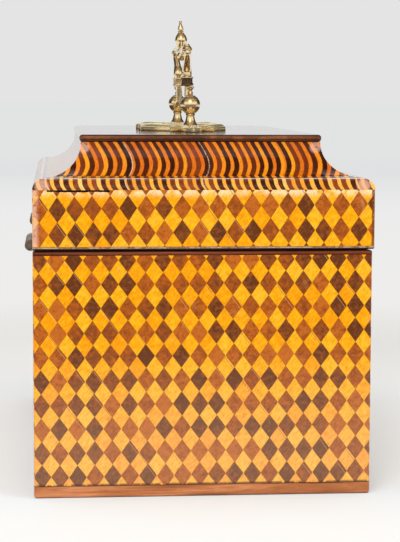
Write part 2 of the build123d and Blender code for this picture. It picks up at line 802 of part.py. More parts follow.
with BuildPart() as upright_bail:
    for hand in (-1, 1):
        route = [Vector(hand * x, 0, z) for x, z in half_route]
        with BuildLine() as neck:
            FilletPolyline(*route, radius=bend_radii(route))
        with BuildSketch(Plane(origin=route[0], z_dir=(-hand, 0, 0))):
            Circle(bail_radius)
        sweep(path=neck.line)
        with BuildSketch(Plane(origin=route[0], z_dir=(-hand, 0, 0))):
            Circle(bail_boss_radius)
        extrude(amount=bail_boss_length)
        with BuildSketch(Plane(origin=route[0], z_dir=(hand, 0, 0))):
            Circle(pivot_radius)
        extrude(amount=bail_boss_gap + pivot_depth)
        with BuildSketch(Plane(origin=(hand * (neck_x - bail_neck_lean / 2), 0, collar_height))):
            Circle(collar_radius)
        extrude(amount=collar_length / 2, both=True)
        with Locations((hand * (shoulder_x - knop_radius / 2), 0, bail_crown)):
            Sphere(knop_radius)
    crown_plane = Plane(origin=(0, 0, bail_crown), x_dir=(1, 0, 0), z_dir=(0, -1, 0))
    finial_height = bail_height - bail_crown
    with BuildSketch(crown_plane):
        with BuildLine():
            vase_top = (vase_neck_radius, vase_neck_level)
            tip_level = finial_height - finial_tip_radius
            tip_start = ball_foot(tip_level, finial_tip_radius, finial_neck_radius)
            ThreePointArc((0, -pendant_drop), (pendant_radius, -pendant_drop / 2), (bail_radius, 0))
            ThreePointArc((bail_radius, 0), (vase_radius, vase_level), vase_top)
            ThreePointArc(vase_top, (spire_radius, (vase_neck_level + tip_level) / 2), tip_start)
            ThreePointArc(tip_start, (finial_tip_radius, tip_level), (0, finial_height))
            Line((0, finial_height), (0, -pendant_drop))
        make_face()
    revolve(axis=Axis(crown_plane.origin, UP))

with BuildPart() as bail:
    with Locations(Location((0, lid_y, pivot_z), (-bail_lean, 0, 0))):
        add(upright_bail.part)
write(bail, "bail")
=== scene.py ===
"""Looks of an antique parquetry tea caddy with a moulded lid and a brass swan-neck handle.

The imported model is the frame: X runs along the length, -Y is the front with the lock, +Y the
hinged back and Z is up, with the origin in the middle of the underside. Blender's own lengths
are in metres, and the sizes written here are in millimetres unless their text says otherwise.
"""

import logging
import math
from dataclasses import dataclass, replace
from enum import Enum
from typing import Sequence

import bpy
from mathutils import Matrix, Vector

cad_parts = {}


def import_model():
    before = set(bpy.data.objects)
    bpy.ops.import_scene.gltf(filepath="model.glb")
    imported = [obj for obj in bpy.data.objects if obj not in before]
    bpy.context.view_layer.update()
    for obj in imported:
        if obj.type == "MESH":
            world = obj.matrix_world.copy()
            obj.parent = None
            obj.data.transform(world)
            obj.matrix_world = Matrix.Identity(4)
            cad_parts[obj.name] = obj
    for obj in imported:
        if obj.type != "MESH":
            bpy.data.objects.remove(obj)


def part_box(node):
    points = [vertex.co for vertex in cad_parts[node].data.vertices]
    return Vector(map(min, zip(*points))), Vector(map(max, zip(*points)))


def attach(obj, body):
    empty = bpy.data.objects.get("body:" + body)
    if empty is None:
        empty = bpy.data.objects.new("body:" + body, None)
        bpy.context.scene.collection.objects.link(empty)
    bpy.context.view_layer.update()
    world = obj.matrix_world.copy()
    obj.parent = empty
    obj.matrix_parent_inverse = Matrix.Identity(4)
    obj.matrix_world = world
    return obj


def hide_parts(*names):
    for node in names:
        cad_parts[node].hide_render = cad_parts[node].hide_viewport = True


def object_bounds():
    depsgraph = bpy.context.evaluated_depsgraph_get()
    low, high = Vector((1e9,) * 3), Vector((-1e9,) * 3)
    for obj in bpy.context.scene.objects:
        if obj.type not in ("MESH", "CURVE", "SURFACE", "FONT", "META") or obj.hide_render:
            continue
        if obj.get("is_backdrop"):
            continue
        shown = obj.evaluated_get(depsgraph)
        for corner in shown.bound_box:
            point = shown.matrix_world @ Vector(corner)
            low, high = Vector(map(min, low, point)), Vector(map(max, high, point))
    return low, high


log = logging.getLogger("tea_caddy")

Colour = tuple[float, float, float, float]
Stop = tuple[float, Colour]
Profile = tuple[tuple[float, float], ...]
Socket = bpy.types.NodeSocket
Piece = bpy.types.Object

MM = 0.001

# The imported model's levels and corners
RIM_TOP = 102.4
LID_BOTTOM = 102.9
CORNER_X = 120.4
CORNER_Y = 70.4

# Optics of the wax polish, and how far soft edges in the materials reach
THIN_POLISH = 1.27
SOFT_EDGE = 0.3


def srgb(red: int, green: int, blue: int) -> Colour:
    """Turn a colour as seen on a screen into the linear one that shaders take.

    Args:
        red: Red from 0 to 255.
        green: Green from 0 to 255.
        blue: Blue from 0 to 255.

    Returns:
        The linear colour with full opacity.
    """

    def linear(level: float) -> float:
        """One channel from 0 to 1, without its screen curve."""
        return level / 12.92 if level <= 0.04045 else ((level + 0.055) / 1.055) ** 2.4

    return (linear(red / 255), linear(green / 255), linear(blue / 255), 1.0)


# What age has left on the lozenges, with painted highlights, reflection and shadow
FRIEZE_TOP_HIGHLIGHT = srgb(255, 236, 190)
FLOOR_REFLECTION_ON_YELLOW = srgb(250, 208, 178)
FLOOR_REFLECTION_ON_BROWN = srgb(186, 152, 124)
GRAIN_TINT = srgb(212, 192, 176)
FLECK_TINT = srgb(218, 184, 158)
GLUE = srgb(150, 78, 16)
CRACK_LIP_HIGHLIGHT = srgb(248, 196, 128)
CRACK = srgb(120, 60, 18)
WORN_WOOD = srgb(236, 176, 128)
FOOT_GRIME = srgb(72, 44, 34)
RUBBED_CORNER_HIGHLIGHT = srgb(228, 182, 158)
BAND_EDGE_HIGHLIGHT = srgb(222, 188, 156)
DEEP_SHADOW = srgb(18, 9, 5)
CORNER_STRIP: tuple[Stop, ...] = ((0.3, srgb(84, 36, 12)), (0.7, srgb(150, 84, 34)))
BANDING: tuple[Stop, ...] = ((0.3, srgb(92, 58, 40)), (0.7, srgb(176, 128, 92)))

# What age has left on the striped mouldings, with painted highlights and shade
STRIPE_GRAIN = srgb(208, 180, 160)
STRIPE_SEAM = srgb(120, 52, 16)
CHIP = srgb(70, 36, 20)
TOP_EDGE_HIGHLIGHT = srgb(226, 214, 204)
CREASE_SHADE = srgb(52, 30, 18)
WORN_SPOT_AND_GLINT = srgb(232, 178, 152)
BACKING = (srgb(120, 84, 52), srgb(176, 138, 94))
FILLER: tuple[Stop, ...] = ((0.55, srgb(58, 34, 22)), (0.8, srgb(206, 188, 164)))

# Painted shade along the edges of plain wood and on the bail's near collar
EDGE_SHADE_LINE = srgb(44, 16, 6)
COLLAR_SHADE = srgb(58, 28, 16)


@dataclass(frozen=True)
class Value:
    """A number that a shader works out at each point, for sums written as on plain numbers.

    Attributes:
        graph: The graph that it belongs to.
        socket: The output that gives it.
    """

    graph: "Graph"
    socket: Socket

    def __add__(self, other: object) -> "Value":
        """Their sum."""
        return self.graph.math("ADD", self, other)

    def __sub__(self, other: object) -> "Value":
        """What is left when the other is taken away."""
        return self.graph.math("SUBTRACT", self, other)

    def __rsub__(self, other: object) -> "Value":
        """What is left of a plain number when this is taken away."""
        return self.graph.math("SUBTRACT", other, self)

    def __mul__(self, other: object) -> "Value":
        """Their product."""
        return self.graph.math("MULTIPLY", self, other)

    def __truediv__(self, other: object) -> "Value":
        """How many times the other goes into this."""
        return self.graph.math("DIVIDE", self, other)

    def __lt__(self, other: object) -> "Value":
        """1 where this is less, 0 elsewhere."""
        return self.graph.math("LESS_THAN", self, other)

    def __gt__(self, other: object) -> "Value":
        """1 where this is more, 0 elsewhere."""
        return self.graph.math("GREATER_THAN", self, other)

    def __abs__(self) -> "Value":
        """The number without its sign."""
        return self.graph.math("ABSOLUTE", self)

    def __round__(self) -> "Value":
        """The nearest whole number."""
        return self.graph.math("ROUND", self)

    def __floor__(self) -> "Value":
        """The whole number below."""
        return self.graph.math("FLOOR", self)


class Graph:
    """The nodes of one material or of the world, added one at a time.

    Attributes:
        owner: The material or world.
        tree: Its nodes and links.
    """

    def __init__(self, owner: bpy.types.ID) -> None:
        """Start from nothing.

        Args:
            owner: The new material or world.
        """
        owner.use_nodes = True
        self.owner = owner
        self.tree = owner.node_tree
        self.tree.nodes.clear()

    @classmethod
    def of_material(cls, name: str) -> "Graph":
        """The nodes of a new material."""
        return cls(bpy.data.materials.new(name))

    def node(self, kind: str, fed: dict[str | int, object] | None = None,
             **settings: object) -> bpy.types.Node:
        """Add a node, set its properties and fill its inputs.

        Args:
            kind: Blender's name for the kind of node.
            fed: What goes into its inputs, by name or number. An input whose value is None keeps its own.
            **settings: Properties to set on it.

        Returns:
            The new node.
        """
        added = self.tree.nodes.new(kind)
        for name, value in settings.items():
            setattr(added, name, value)
        for key, value in (fed or {}).items():
            given = value.socket if isinstance(value, Value) else value
            if isinstance(given, Socket):
                self.tree.links.new(given, added.inputs[key])
            elif given is not None:
                added.inputs[key].default_value = given
        return added

    def number(self, kind: str, fed: dict[str | int, object], **settings: object) -> Value:
        """Add a node and take the number that it gives first."""
        return Value(self, self.node(kind, fed, **settings).outputs[0])

    def math(self, operation: str, *values: object) -> Value:
        """One sum on one to three numbers.

        Args:
            operation: Blender's name for the sum.
            *values: The numbers.

        Returns:
            The result.
        """
        return self.number("ShaderNodeMath", dict(enumerate(values)), operation=operation)

    def larger(self, first: object, second: object) -> Value:
        """The larger of two numbers."""
        return self.math("MAXIMUM", first, second)

    def fraction(self, value: object) -> Value:
        """How far a number is past the whole number below it."""
        return self.math("FRACT", value)

    def distance(self, across: Value, upward: Value) -> Value:
        """How far off a point is, from its offsets along two axes."""
        return self.math("SQRT", across * across + upward * upward)

    def mix(self, share: object, first: object, second: object, blend: str = "MIX") -> Socket:
        """Mix two colours.

        Args:
            share: How much of the second colour, from 0 to 1.
            first: The colour below.
            second: The colour above.
            blend: Blender's name for the way they mix.

        Returns:
            The mixed colour.
        """
        mixer = self.node("ShaderNodeMix", {0: share, 6: first, 7: second},
                          data_type="RGBA", blend_type=blend, clamp_factor=True)
        return mixer.outputs[2]

    def ramp(self, value: object, stops: Sequence[Stop], stepped: bool = False) -> Socket:
        """Turn a number into a colour.

        Args:
            value: The number, from 0 to 1.
            stops: Places and their colours, in rising order.
            stepped: Whether the colour holds from one stop to the next.

        Returns:
            The colour.
        """
        ramp_node = self.node("ShaderNodeValToRGB", {0: value})
        elements = ramp_node.color_ramp.elements
        ramp_node.color_ramp.interpolation = "CONSTANT" if stepped else "LINEAR"
        while len(elements) < len(stops):
            elements.new(1.0)
        for element, (place, colour) in zip(elements, stops):
            element.position = place
            element.color = colour
        return ramp_node.outputs[0]

    def smooth(self, value: object, low: float, high: float) -> Value:
        """A soft step that rises from 0 at low to 1 at high, or falls where high is the lower.

        Args:
            value: The number to test.
            low: Where the step starts.
            high: Where the step ends.

        Returns:
            The step, from 0 to 1.
        """
        fed = {"Value": value, "From Min": min(low, high), "From Max": max(low, high)}
        step = self.number("ShaderNodeMapRange", fed, interpolation_type="SMOOTHSTEP", clamp=True)
        return step if low < high else 1.0 - step

    def between(self, value: object, low: float, high: float) -> Value:
        """1 between two places and 0 beyond them, with soft edges."""
        rise = self.smooth(value, low - SOFT_EDGE, low + SOFT_EDGE)
        return rise * self.smooth(value, high + SOFT_EDGE, high - SOFT_EDGE)

    def place(self, scale: float | Sequence[float] = 1.0) -> Socket:
        """The object's own coordinates, in metres before they are stretched.

        Args:
            scale: How far they are stretched, as one number or one for each axis.

        Returns:
            The coordinates.
        """
        spread = (scale, scale, scale) if isinstance(scale, float) else tuple(scale)
        coordinates = self.node("ShaderNodeTexCoord").outputs["Object"]
        return self.node("ShaderNodeMapping", {"Vector": coordinates, "Scale": spread}).outputs[0]

    def parts(self, vector: Socket) -> list[Value]:
        """The X, Y and Z of a vector."""
        return [Value(self, output) for output in self.node("ShaderNodeSeparateXYZ", {0: vector}).outputs]

    def spot(self) -> list[Value]:
        """The X, Y and Z of the point itself, in millimetres."""
        return self.parts(self.place(1 / MM))

    def vector(self, *values: object) -> Socket:
        """A vector from up to three numbers."""
        return self.node("ShaderNodeCombineXYZ", dict(enumerate(values))).outputs[0]

    def noise(self, vector: object, scale: float, detail: float = 3.0, roughness: float = 0.55,
              distortion: float = 0.0) -> Value:
        """Cloudy noise from 0 to 1.

        Args:
            vector: Where it is read.
            scale: How many clouds there are in a unit.
            detail: How many finer layers it has.
            roughness: How strong the finer layers are.
            distortion: How much it is warped.

        Returns:
            The noise.
        """
        return self.number("ShaderNodeTexNoise", {
            "Vector": vector,
            "Scale": scale,
            "Detail": detail,
            "Roughness": roughness,
            "Distortion": distortion,
        }, noise_dimensions="3D")

    def chance(self, *values: object) -> Value:
        """A random number from 0 to 1 for each whole-number place."""
        fed = {"Vector": self.vector(*values)}
        return Value(self, self.node("ShaderNodeTexWhiteNoise", fed, noise_dimensions="3D").outputs["Value"])

    def bump(self, height: object, depth: float, strength: float, below: Socket | None = None) -> Socket:
        """Relief from a height.

        Args:
            height: The height, from 0 to 1.
            depth: What a height of 1 stands for.
            strength: How much of it shows.
            below: Relief under this one.

        Returns:
            The normal.
        """
        fed = {"Height": height, "Distance": depth * MM, "Strength": strength, "Normal": below}
        return self.node("ShaderNodeBump", fed).outputs[0]

    def finish(self, colour: object, roughness: object, normal: Socket, metallic: float = 0.0,
               coat: float = 0.0, coat_roughness: float = 0.1, specular: float = 0.5) -> bpy.types.Material:
        """Close the material with its shader.

        Args:
            colour: The base colour.
            roughness: How dull the surface is.
            normal: The relief.
            metallic: 1 for metal.
            coat: How much clear polish lies over it.
            coat_roughness: How dull that polish is.
            specular: How strongly the surface under the polish shines.

        Returns:
            The finished material.
        """
        shader = self.node("ShaderNodeBsdfPrincipled", {
            "Base Color": colour,
            "Roughness": roughness,
            "Metallic": metallic,
            "Coat Weight": coat,
            "Coat Roughness": coat_roughness,
            "Coat IOR": THIN_POLISH,
            "Specular IOR Level": specular,
            "Normal": normal,
        })
        self.node("ShaderNodeOutputMaterial", {"Surface": shader.outputs[0]})
        return self.owner


class Run(Enum):
    """The direction in which a side of the box runs."""

    ALONG_X = 0
    ALONG_Y = 1


@dataclass(frozen=True)
class Lay:
    """How a pattern lies on one side of the box.

    Attributes:
        run: The direction in which the side runs.
        forward: 1 where the pattern counts along the axis, -1 where against it.
        half_length: Half of the side's length, from the axis to where the count starts.
        seed: What makes this side's pieces differ from the others'.
        gap: From where to where the veneer has come away under the moulding.
    """

    run: Run
    forward: float
    half_length: float
    seed: float
    gap: tuple[float, float] = (0.0, 0.0)

    def along(self, g: Graph) -> tuple[Value, Value]:
        """The distance along the side and the height."""
        position = g.spot()
        return position[self.run.value] * self.forward + self.half_length, position[2]


@dataclass(frozen=True)
class Diamonds:
    """What the veneer knows at each point of a side.

    Attributes:
        along: The distance along the side.
        height: The height.
        flat: The place on the side, with the side's own seed.
        falling: The count across the slanting strips.
        rising: The count along them.
        strip: The strip's number.
        piece: The diamond's number in its strip.
        is_brown: 1 in the brown diamonds.
        tone: A random number for each diamond.
        turn: Another one.
    """

    along: Value
    height: Value
    flat: Socket
    falling: Value
    rising: Value
    strip: Value
    piece: Value
    is_brown: Value
    tone: Value
    turn: Value


@dataclass(frozen=True)
class LozengeVeneer:
    """Diamond parquetry of yellow and brown woods, sawn in strips and glued up under polish.

    Attributes:
        column_pitch: Distance between brown diamonds in a row.
        row_pitch: Distance between brown rows.
        first_column: Where a brown diamond's middle is.
        first_row: The height of a brown row.
        lean: How far the columns lean with height.
        drift: How far the rows climb with length.
        band_top: Up to which height a brown banding covers the foot, or 0 where there is none.
        highlight_from: From which height a painted highlight pales the yellow woods towards the top edge.
        floor_reflection: How much painted reflection of the pale floor lies on the polish near the foot.
        rubbed: How far the back corners have been rubbed down and carry a painted highlight.
        edging: How far from the front corners a thin dark strip reaches.
        highlight_reach: Over how much height that painted highlight pales the yellow woods.
        floor_reflection_span: The heights between which that painted floor reflection fades upwards.
        grime_span: The heights between which the dirt along the foot fades upwards.
        gap_level: The level above which the veneer has come away, before its ragged edge.
        browns: Colours of the brown diamonds.
        yellows: Colours of the yellow diamonds.
    """

    column_pitch: float
    row_pitch: float
    first_column: float
    first_row: float
    lean: float
    drift: float
    band_top: float = 0.0
    highlight_from: float = 200.0
    floor_reflection: float = 0.0
    rubbed: float = 0.0
    edging: float = 1.5
    highlight_reach: float = 3.2
    floor_reflection_span: tuple[float, float] = (14.0, 66.0)
    grime_span: tuple[float, float] = (5.4, 6.3)
    gap_level: float = 126.2
    browns: tuple[Stop, ...] = (
        (0.0, srgb(102, 54, 24)),
        (0.22, srgb(126, 70, 32)),
        (0.45, srgb(150, 76, 24)),
        (0.7, srgb(172, 88, 24)),
        (1.0, srgb(194, 106, 34)),
    )
    yellows: tuple[Stop, ...] = (
        (0.0, srgb(248, 158, 0)),
        (0.3, srgb(250, 172, 2)),
        (0.75, srgb(251, 180, 16)),
        (1.0, srgb(253, 189, 44)),
    )

    def build(self, name: str, lay: Lay) -> bpy.types.Material:
        """Build the veneer for one side.

        Args:
            name: The material's name.
            lay: How the pattern lies there.

        Returns:
            The material.
        """
        g = Graph.of_material(name)
        cut = self.saw(g, lay)
        across_grain = cut.rising * 22.0 + cut.tone * 31.0
        grain_place = g.vector(cut.falling * 2.2 + cut.turn * 9.0, across_grain, lay.seed)
        grain = g.noise(grain_place, 1.0, 4.0, 0.62, 0.3)
        fleck = g.noise(g.vector(cut.along, cut.height, 1.7), 2.4, 5.0, 0.7)
        wood = self.woods(g, cut)
        wood = g.mix(g.smooth(grain, 0.42, 0.72), wood, GRAIN_TINT, "MULTIPLY")
        wood = g.mix(g.smooth(fleck, 0.52, 0.8), wood, FLECK_TINT, "MULTIPLY")
        from_middle = g.larger(abs(cut.falling - cut.strip), abs(cut.rising - cut.piece))
        seam = (0.5 - from_middle) < g.noise(cut.flat, 0.6, 2.0) * 0.035 + 0.002
        wood = g.mix(seam * 0.3, wood, GLUE)
        gap, lip_highlight = self.cracks(g, cut, lay)
        # Painted highlight on the lip beside each crack.
        wood = g.mix(lip_highlight * 0.45, wood, CRACK_LIP_HIGHLIGHT)
        wood = g.mix(gap * 0.6, wood, CRACK)
        wood = self.wear(g, wood, cut)
        wood = self.corners(g, wood, cut.flat)
        if self.band_top:
            wood = self.edges(g, wood, cut, lay)
        ripple = g.bump(g.noise(cut.flat, 0.16, 3.0), 0.3, 0.5)
        normal = g.bump(grain * 0.12 - g.larger(seam * 0.5, gap), 0.12, 0.9, ripple)
        dull = g.noise(cut.flat, 0.3, 3.0) * 0.22 + 0.24
        return g.finish(wood, dull, normal, coat=1.0, coat_roughness=0.1, specular=0.12)

    def saw(self, g: Graph, lay: Lay) -> Diamonds:
        """Saw the side into diamonds along two slanting counts.

        Args:
            g: The material's graph.
            lay: How the pattern lies there.

        Returns:
            The diamonds.
        """
        along, height = lay.along(g)
        flat = g.vector(along, height, lay.seed)
        column = along - self.first_column
        row = height - self.first_row
        wander = g.noise(flat, 0.045, 2.0) * 0.9 - 0.45
        wander_up = g.noise(g.vector(height, along, 7.3), 0.05, 2.0) * 0.8 - 0.4
        across = (column - row * self.lean + wander) / self.column_pitch
        upward = (row - column * self.drift + wander_up) / self.row_pitch
        falling = across + upward
        strip = round(falling)
        slip = g.chance(strip, lay.seed, 3.0)
        rising = across - upward + (slip * 0.09 - 0.045)
        piece = round(rising)
        blunt = abs((falling - strip) + (rising - piece)) < slip * 0.1 + 0.91
        is_brown = (g.fraction((strip + piece) * 0.5 + 0.25) < 0.5) * blunt
        tone = g.chance(strip, piece, lay.seed)
        turn = g.chance(piece, strip, lay.seed + 0.5)
        return Diamonds(along, height, flat, falling, rising, strip, piece, is_brown, tone, turn)

    def woods(self, g: Graph, cut: Diamonds) -> Socket:
        """Give each diamond its own tone and clouds, with a painted highlight that pales the yellows at the
        top edge and a painted reflection of the pale floor near the foot.

        Args:
            g: The material's graph.
            cut: The diamonds.

        Returns:
            The colour of the woods, with that painted highlight and reflection.
        """
        clouds = g.noise(g.vector(cut.along, cut.height, cut.turn * 50.0), 0.5, 4.0, 0.7, 0.4) - 0.5
        broad_tone = (g.noise(cut.flat, 0.022, 1.0) - 0.5) * 0.9
        brown = g.ramp(clouds * 2.2 + broad_tone + cut.tone, self.browns)
        yellow = g.ramp(clouds * 3.6 + cut.tone, self.yellows)
        # Painted highlight: towards the rounded top edge the yellows pale to cream, in patches.
        glow = g.smooth(cut.height, self.highlight_from, self.highlight_from + self.highlight_reach)
        patchy = g.smooth(g.noise(cut.flat, 0.2, 2.0), 0.3, 0.62)
        yellow = g.mix(glow * patchy * 0.75, yellow, FRIEZE_TOP_HIGHLIGHT)
        # Painted reflection of the pale floor: a grey haze on the polish that fades upwards from the foot.
        low, high = self.floor_reflection_span
        reflected_floor = g.mix(cut.is_brown, FLOOR_REFLECTION_ON_YELLOW, FLOOR_REFLECTION_ON_BROWN)
        return g.mix(g.smooth(cut.height, high, low) * self.floor_reflection, g.mix(cut.is_brown, yellow, brown), reflected_floor)

    def cracks(self, g: Graph, cut: Diamonds, lay: Lay) -> tuple[Value, Value]:
        """Find where strips have parted from the next.

        Args:
            g: The material's graph.
            cut: The diamonds.
            lay: How the pattern lies there.

        Returns:
            The dark gaps, and the painted highlights on the lips beside them.
        """
        open_strip = g.chance(cut.strip, lay.seed + 2.0, 5.0)
        opened = g.chance(cut.strip, cut.piece, lay.seed + 6.0) < open_strip * 0.62 - 0.14
        place = g.chance(cut.strip, lay.seed + 9.0, 2.0) * 0.16
        wobble = g.noise(cut.flat, 0.5, 2.0) * 0.03 - 0.015
        from_crack = 0.5 - (cut.falling - cut.strip) - place + wobble
        gap = g.smooth(abs(from_crack), 0.026, 0.01) * opened
        # Painted highlight along the lip just beside the crack.
        lip_highlight = g.smooth(abs(from_crack - 0.04), 0.026, 0.008) * opened
        return gap, lip_highlight

    def wear(self, g: Graph, wood: Socket, cut: Diamonds) -> Socket:
        """Rub some places pale and leave grime along the foot.

        Args:
            g: The material's graph.
            wood: The colour so far.
            cut: The diamonds.

        Returns:
            The colour with its wear.
        """
        rubbed = g.smooth(g.noise(cut.flat, 0.085, 4.0, 0.6, 0.6), 0.62, 0.78)
        wood = g.mix(rubbed * 0.2, wood, WORN_WOOD)
        low, high = self.grime_span
        ragged = g.smooth(g.noise(cut.flat, 0.35, 4.0, 0.65), 0.38, 0.5)
        return g.mix(g.smooth(cut.height, high, low) * ragged * 0.8, wood, FOOT_GRIME)

    def corners(self, g: Graph, wood: Socket, flat: Socket) -> Socket:
        """Rub the back corners down, with a painted highlight on them, and edge the front ones with a thin
        dark strip.

        Args:
            g: The material's graph.
            wood: The colour so far.
            flat: The place on the side.

        Returns:
            The colour with its corners.
        """
        across, deep, _ = g.spot()
        from_end = CORNER_X - abs(across)
        to_back = from_end + (CORNER_Y - deep)
        to_front = from_end + (deep + CORNER_Y)
        # Back corners: rubbed wear with a painted highlight along them.
        rubbed_and_lit = g.smooth(to_back, 3.6, 1.3) * g.smooth(g.noise(flat, 0.3, 4.0, 0.7, 0.5), 0.36, 0.5)
        wood = g.mix(rubbed_and_lit * self.rubbed, wood, RUBBED_CORNER_HIGHLIGHT)
        strip = g.smooth(to_front, self.edging, self.edging - SOFT_EDGE) * 0.88
        return g.mix(strip, wood, g.ramp(g.noise(flat, 1.2, 3.0), CORNER_STRIP))

    def edges(self, g: Graph, wood: Socket, cut: Diamonds, lay: Lay) -> Socket:
        """Lay the dark banding along the foot with a painted highlight on its rounded edge and painted shadow
        under it, and paint deep shadow into the gap that has opened under the moulding.

        Args:
            g: The material's graph.
            wood: The colour so far.
            cut: The diamonds.
            lay: How the pattern lies there.

        Returns:
            The colour with its edges.
        """
        chatter = g.noise(g.vector(cut.along, 0.0, lay.seed + 0.3), 0.35, 3.0)
        fleck = g.noise(g.vector(cut.along, cut.height, 9.0), 1.8, 4.0, 0.7)
        to_band = cut.height - self.band_top
        wood = g.mix(g.smooth(to_band, 0.1, -0.1), wood, g.ramp(fleck, BANDING))
        # Painted highlight along the rounded lower edge, broken in places.
        pale = g.smooth(abs(to_band + 0.5), 0.3, 0.1) * g.smooth(chatter, 0.42, 0.56)
        wood = g.mix(pale * 0.6, wood, BAND_EDGE_HIGHLIGHT)
        wood = g.mix(g.smooth(to_band, -0.75, -0.95), wood, DEEP_SHADOW)
        start, end = lay.gap
        opened = (cut.along > start) * (cut.along < end) * (cut.height > chatter * 0.9 + self.gap_level)
        return g.mix(opened, wood, DEEP_SHADOW)


@dataclass(frozen=True)
class Bow:
    """How a moulding's stripes bend with height.

    Attributes:
        level: The height from which they bend.
        rise: How far they lean back for each millimetre, well above that height.
        rounding: Over how much height the bend above it is spread.
        fall: How quickly they bend below it, back where positive and forward where negative.
    """

    level: float
    rise: float
    rounding: float
    fall: float

    def at(self, g: Graph, height: Value) -> Value:
        """How far a stripe lies back.

        Args:
            g: The material's graph.
            height: The height.

        Returns:
            The distance back.
        """
        over = height - self.level
        above = g.larger(over, 0.0)
        below = g.math("MINIMUM", over, 0.0)
        spread = g.math("SQRT", above * above + self.rounding**2)
        return below * below * self.fall + (spread - self.rounding) * self.rise


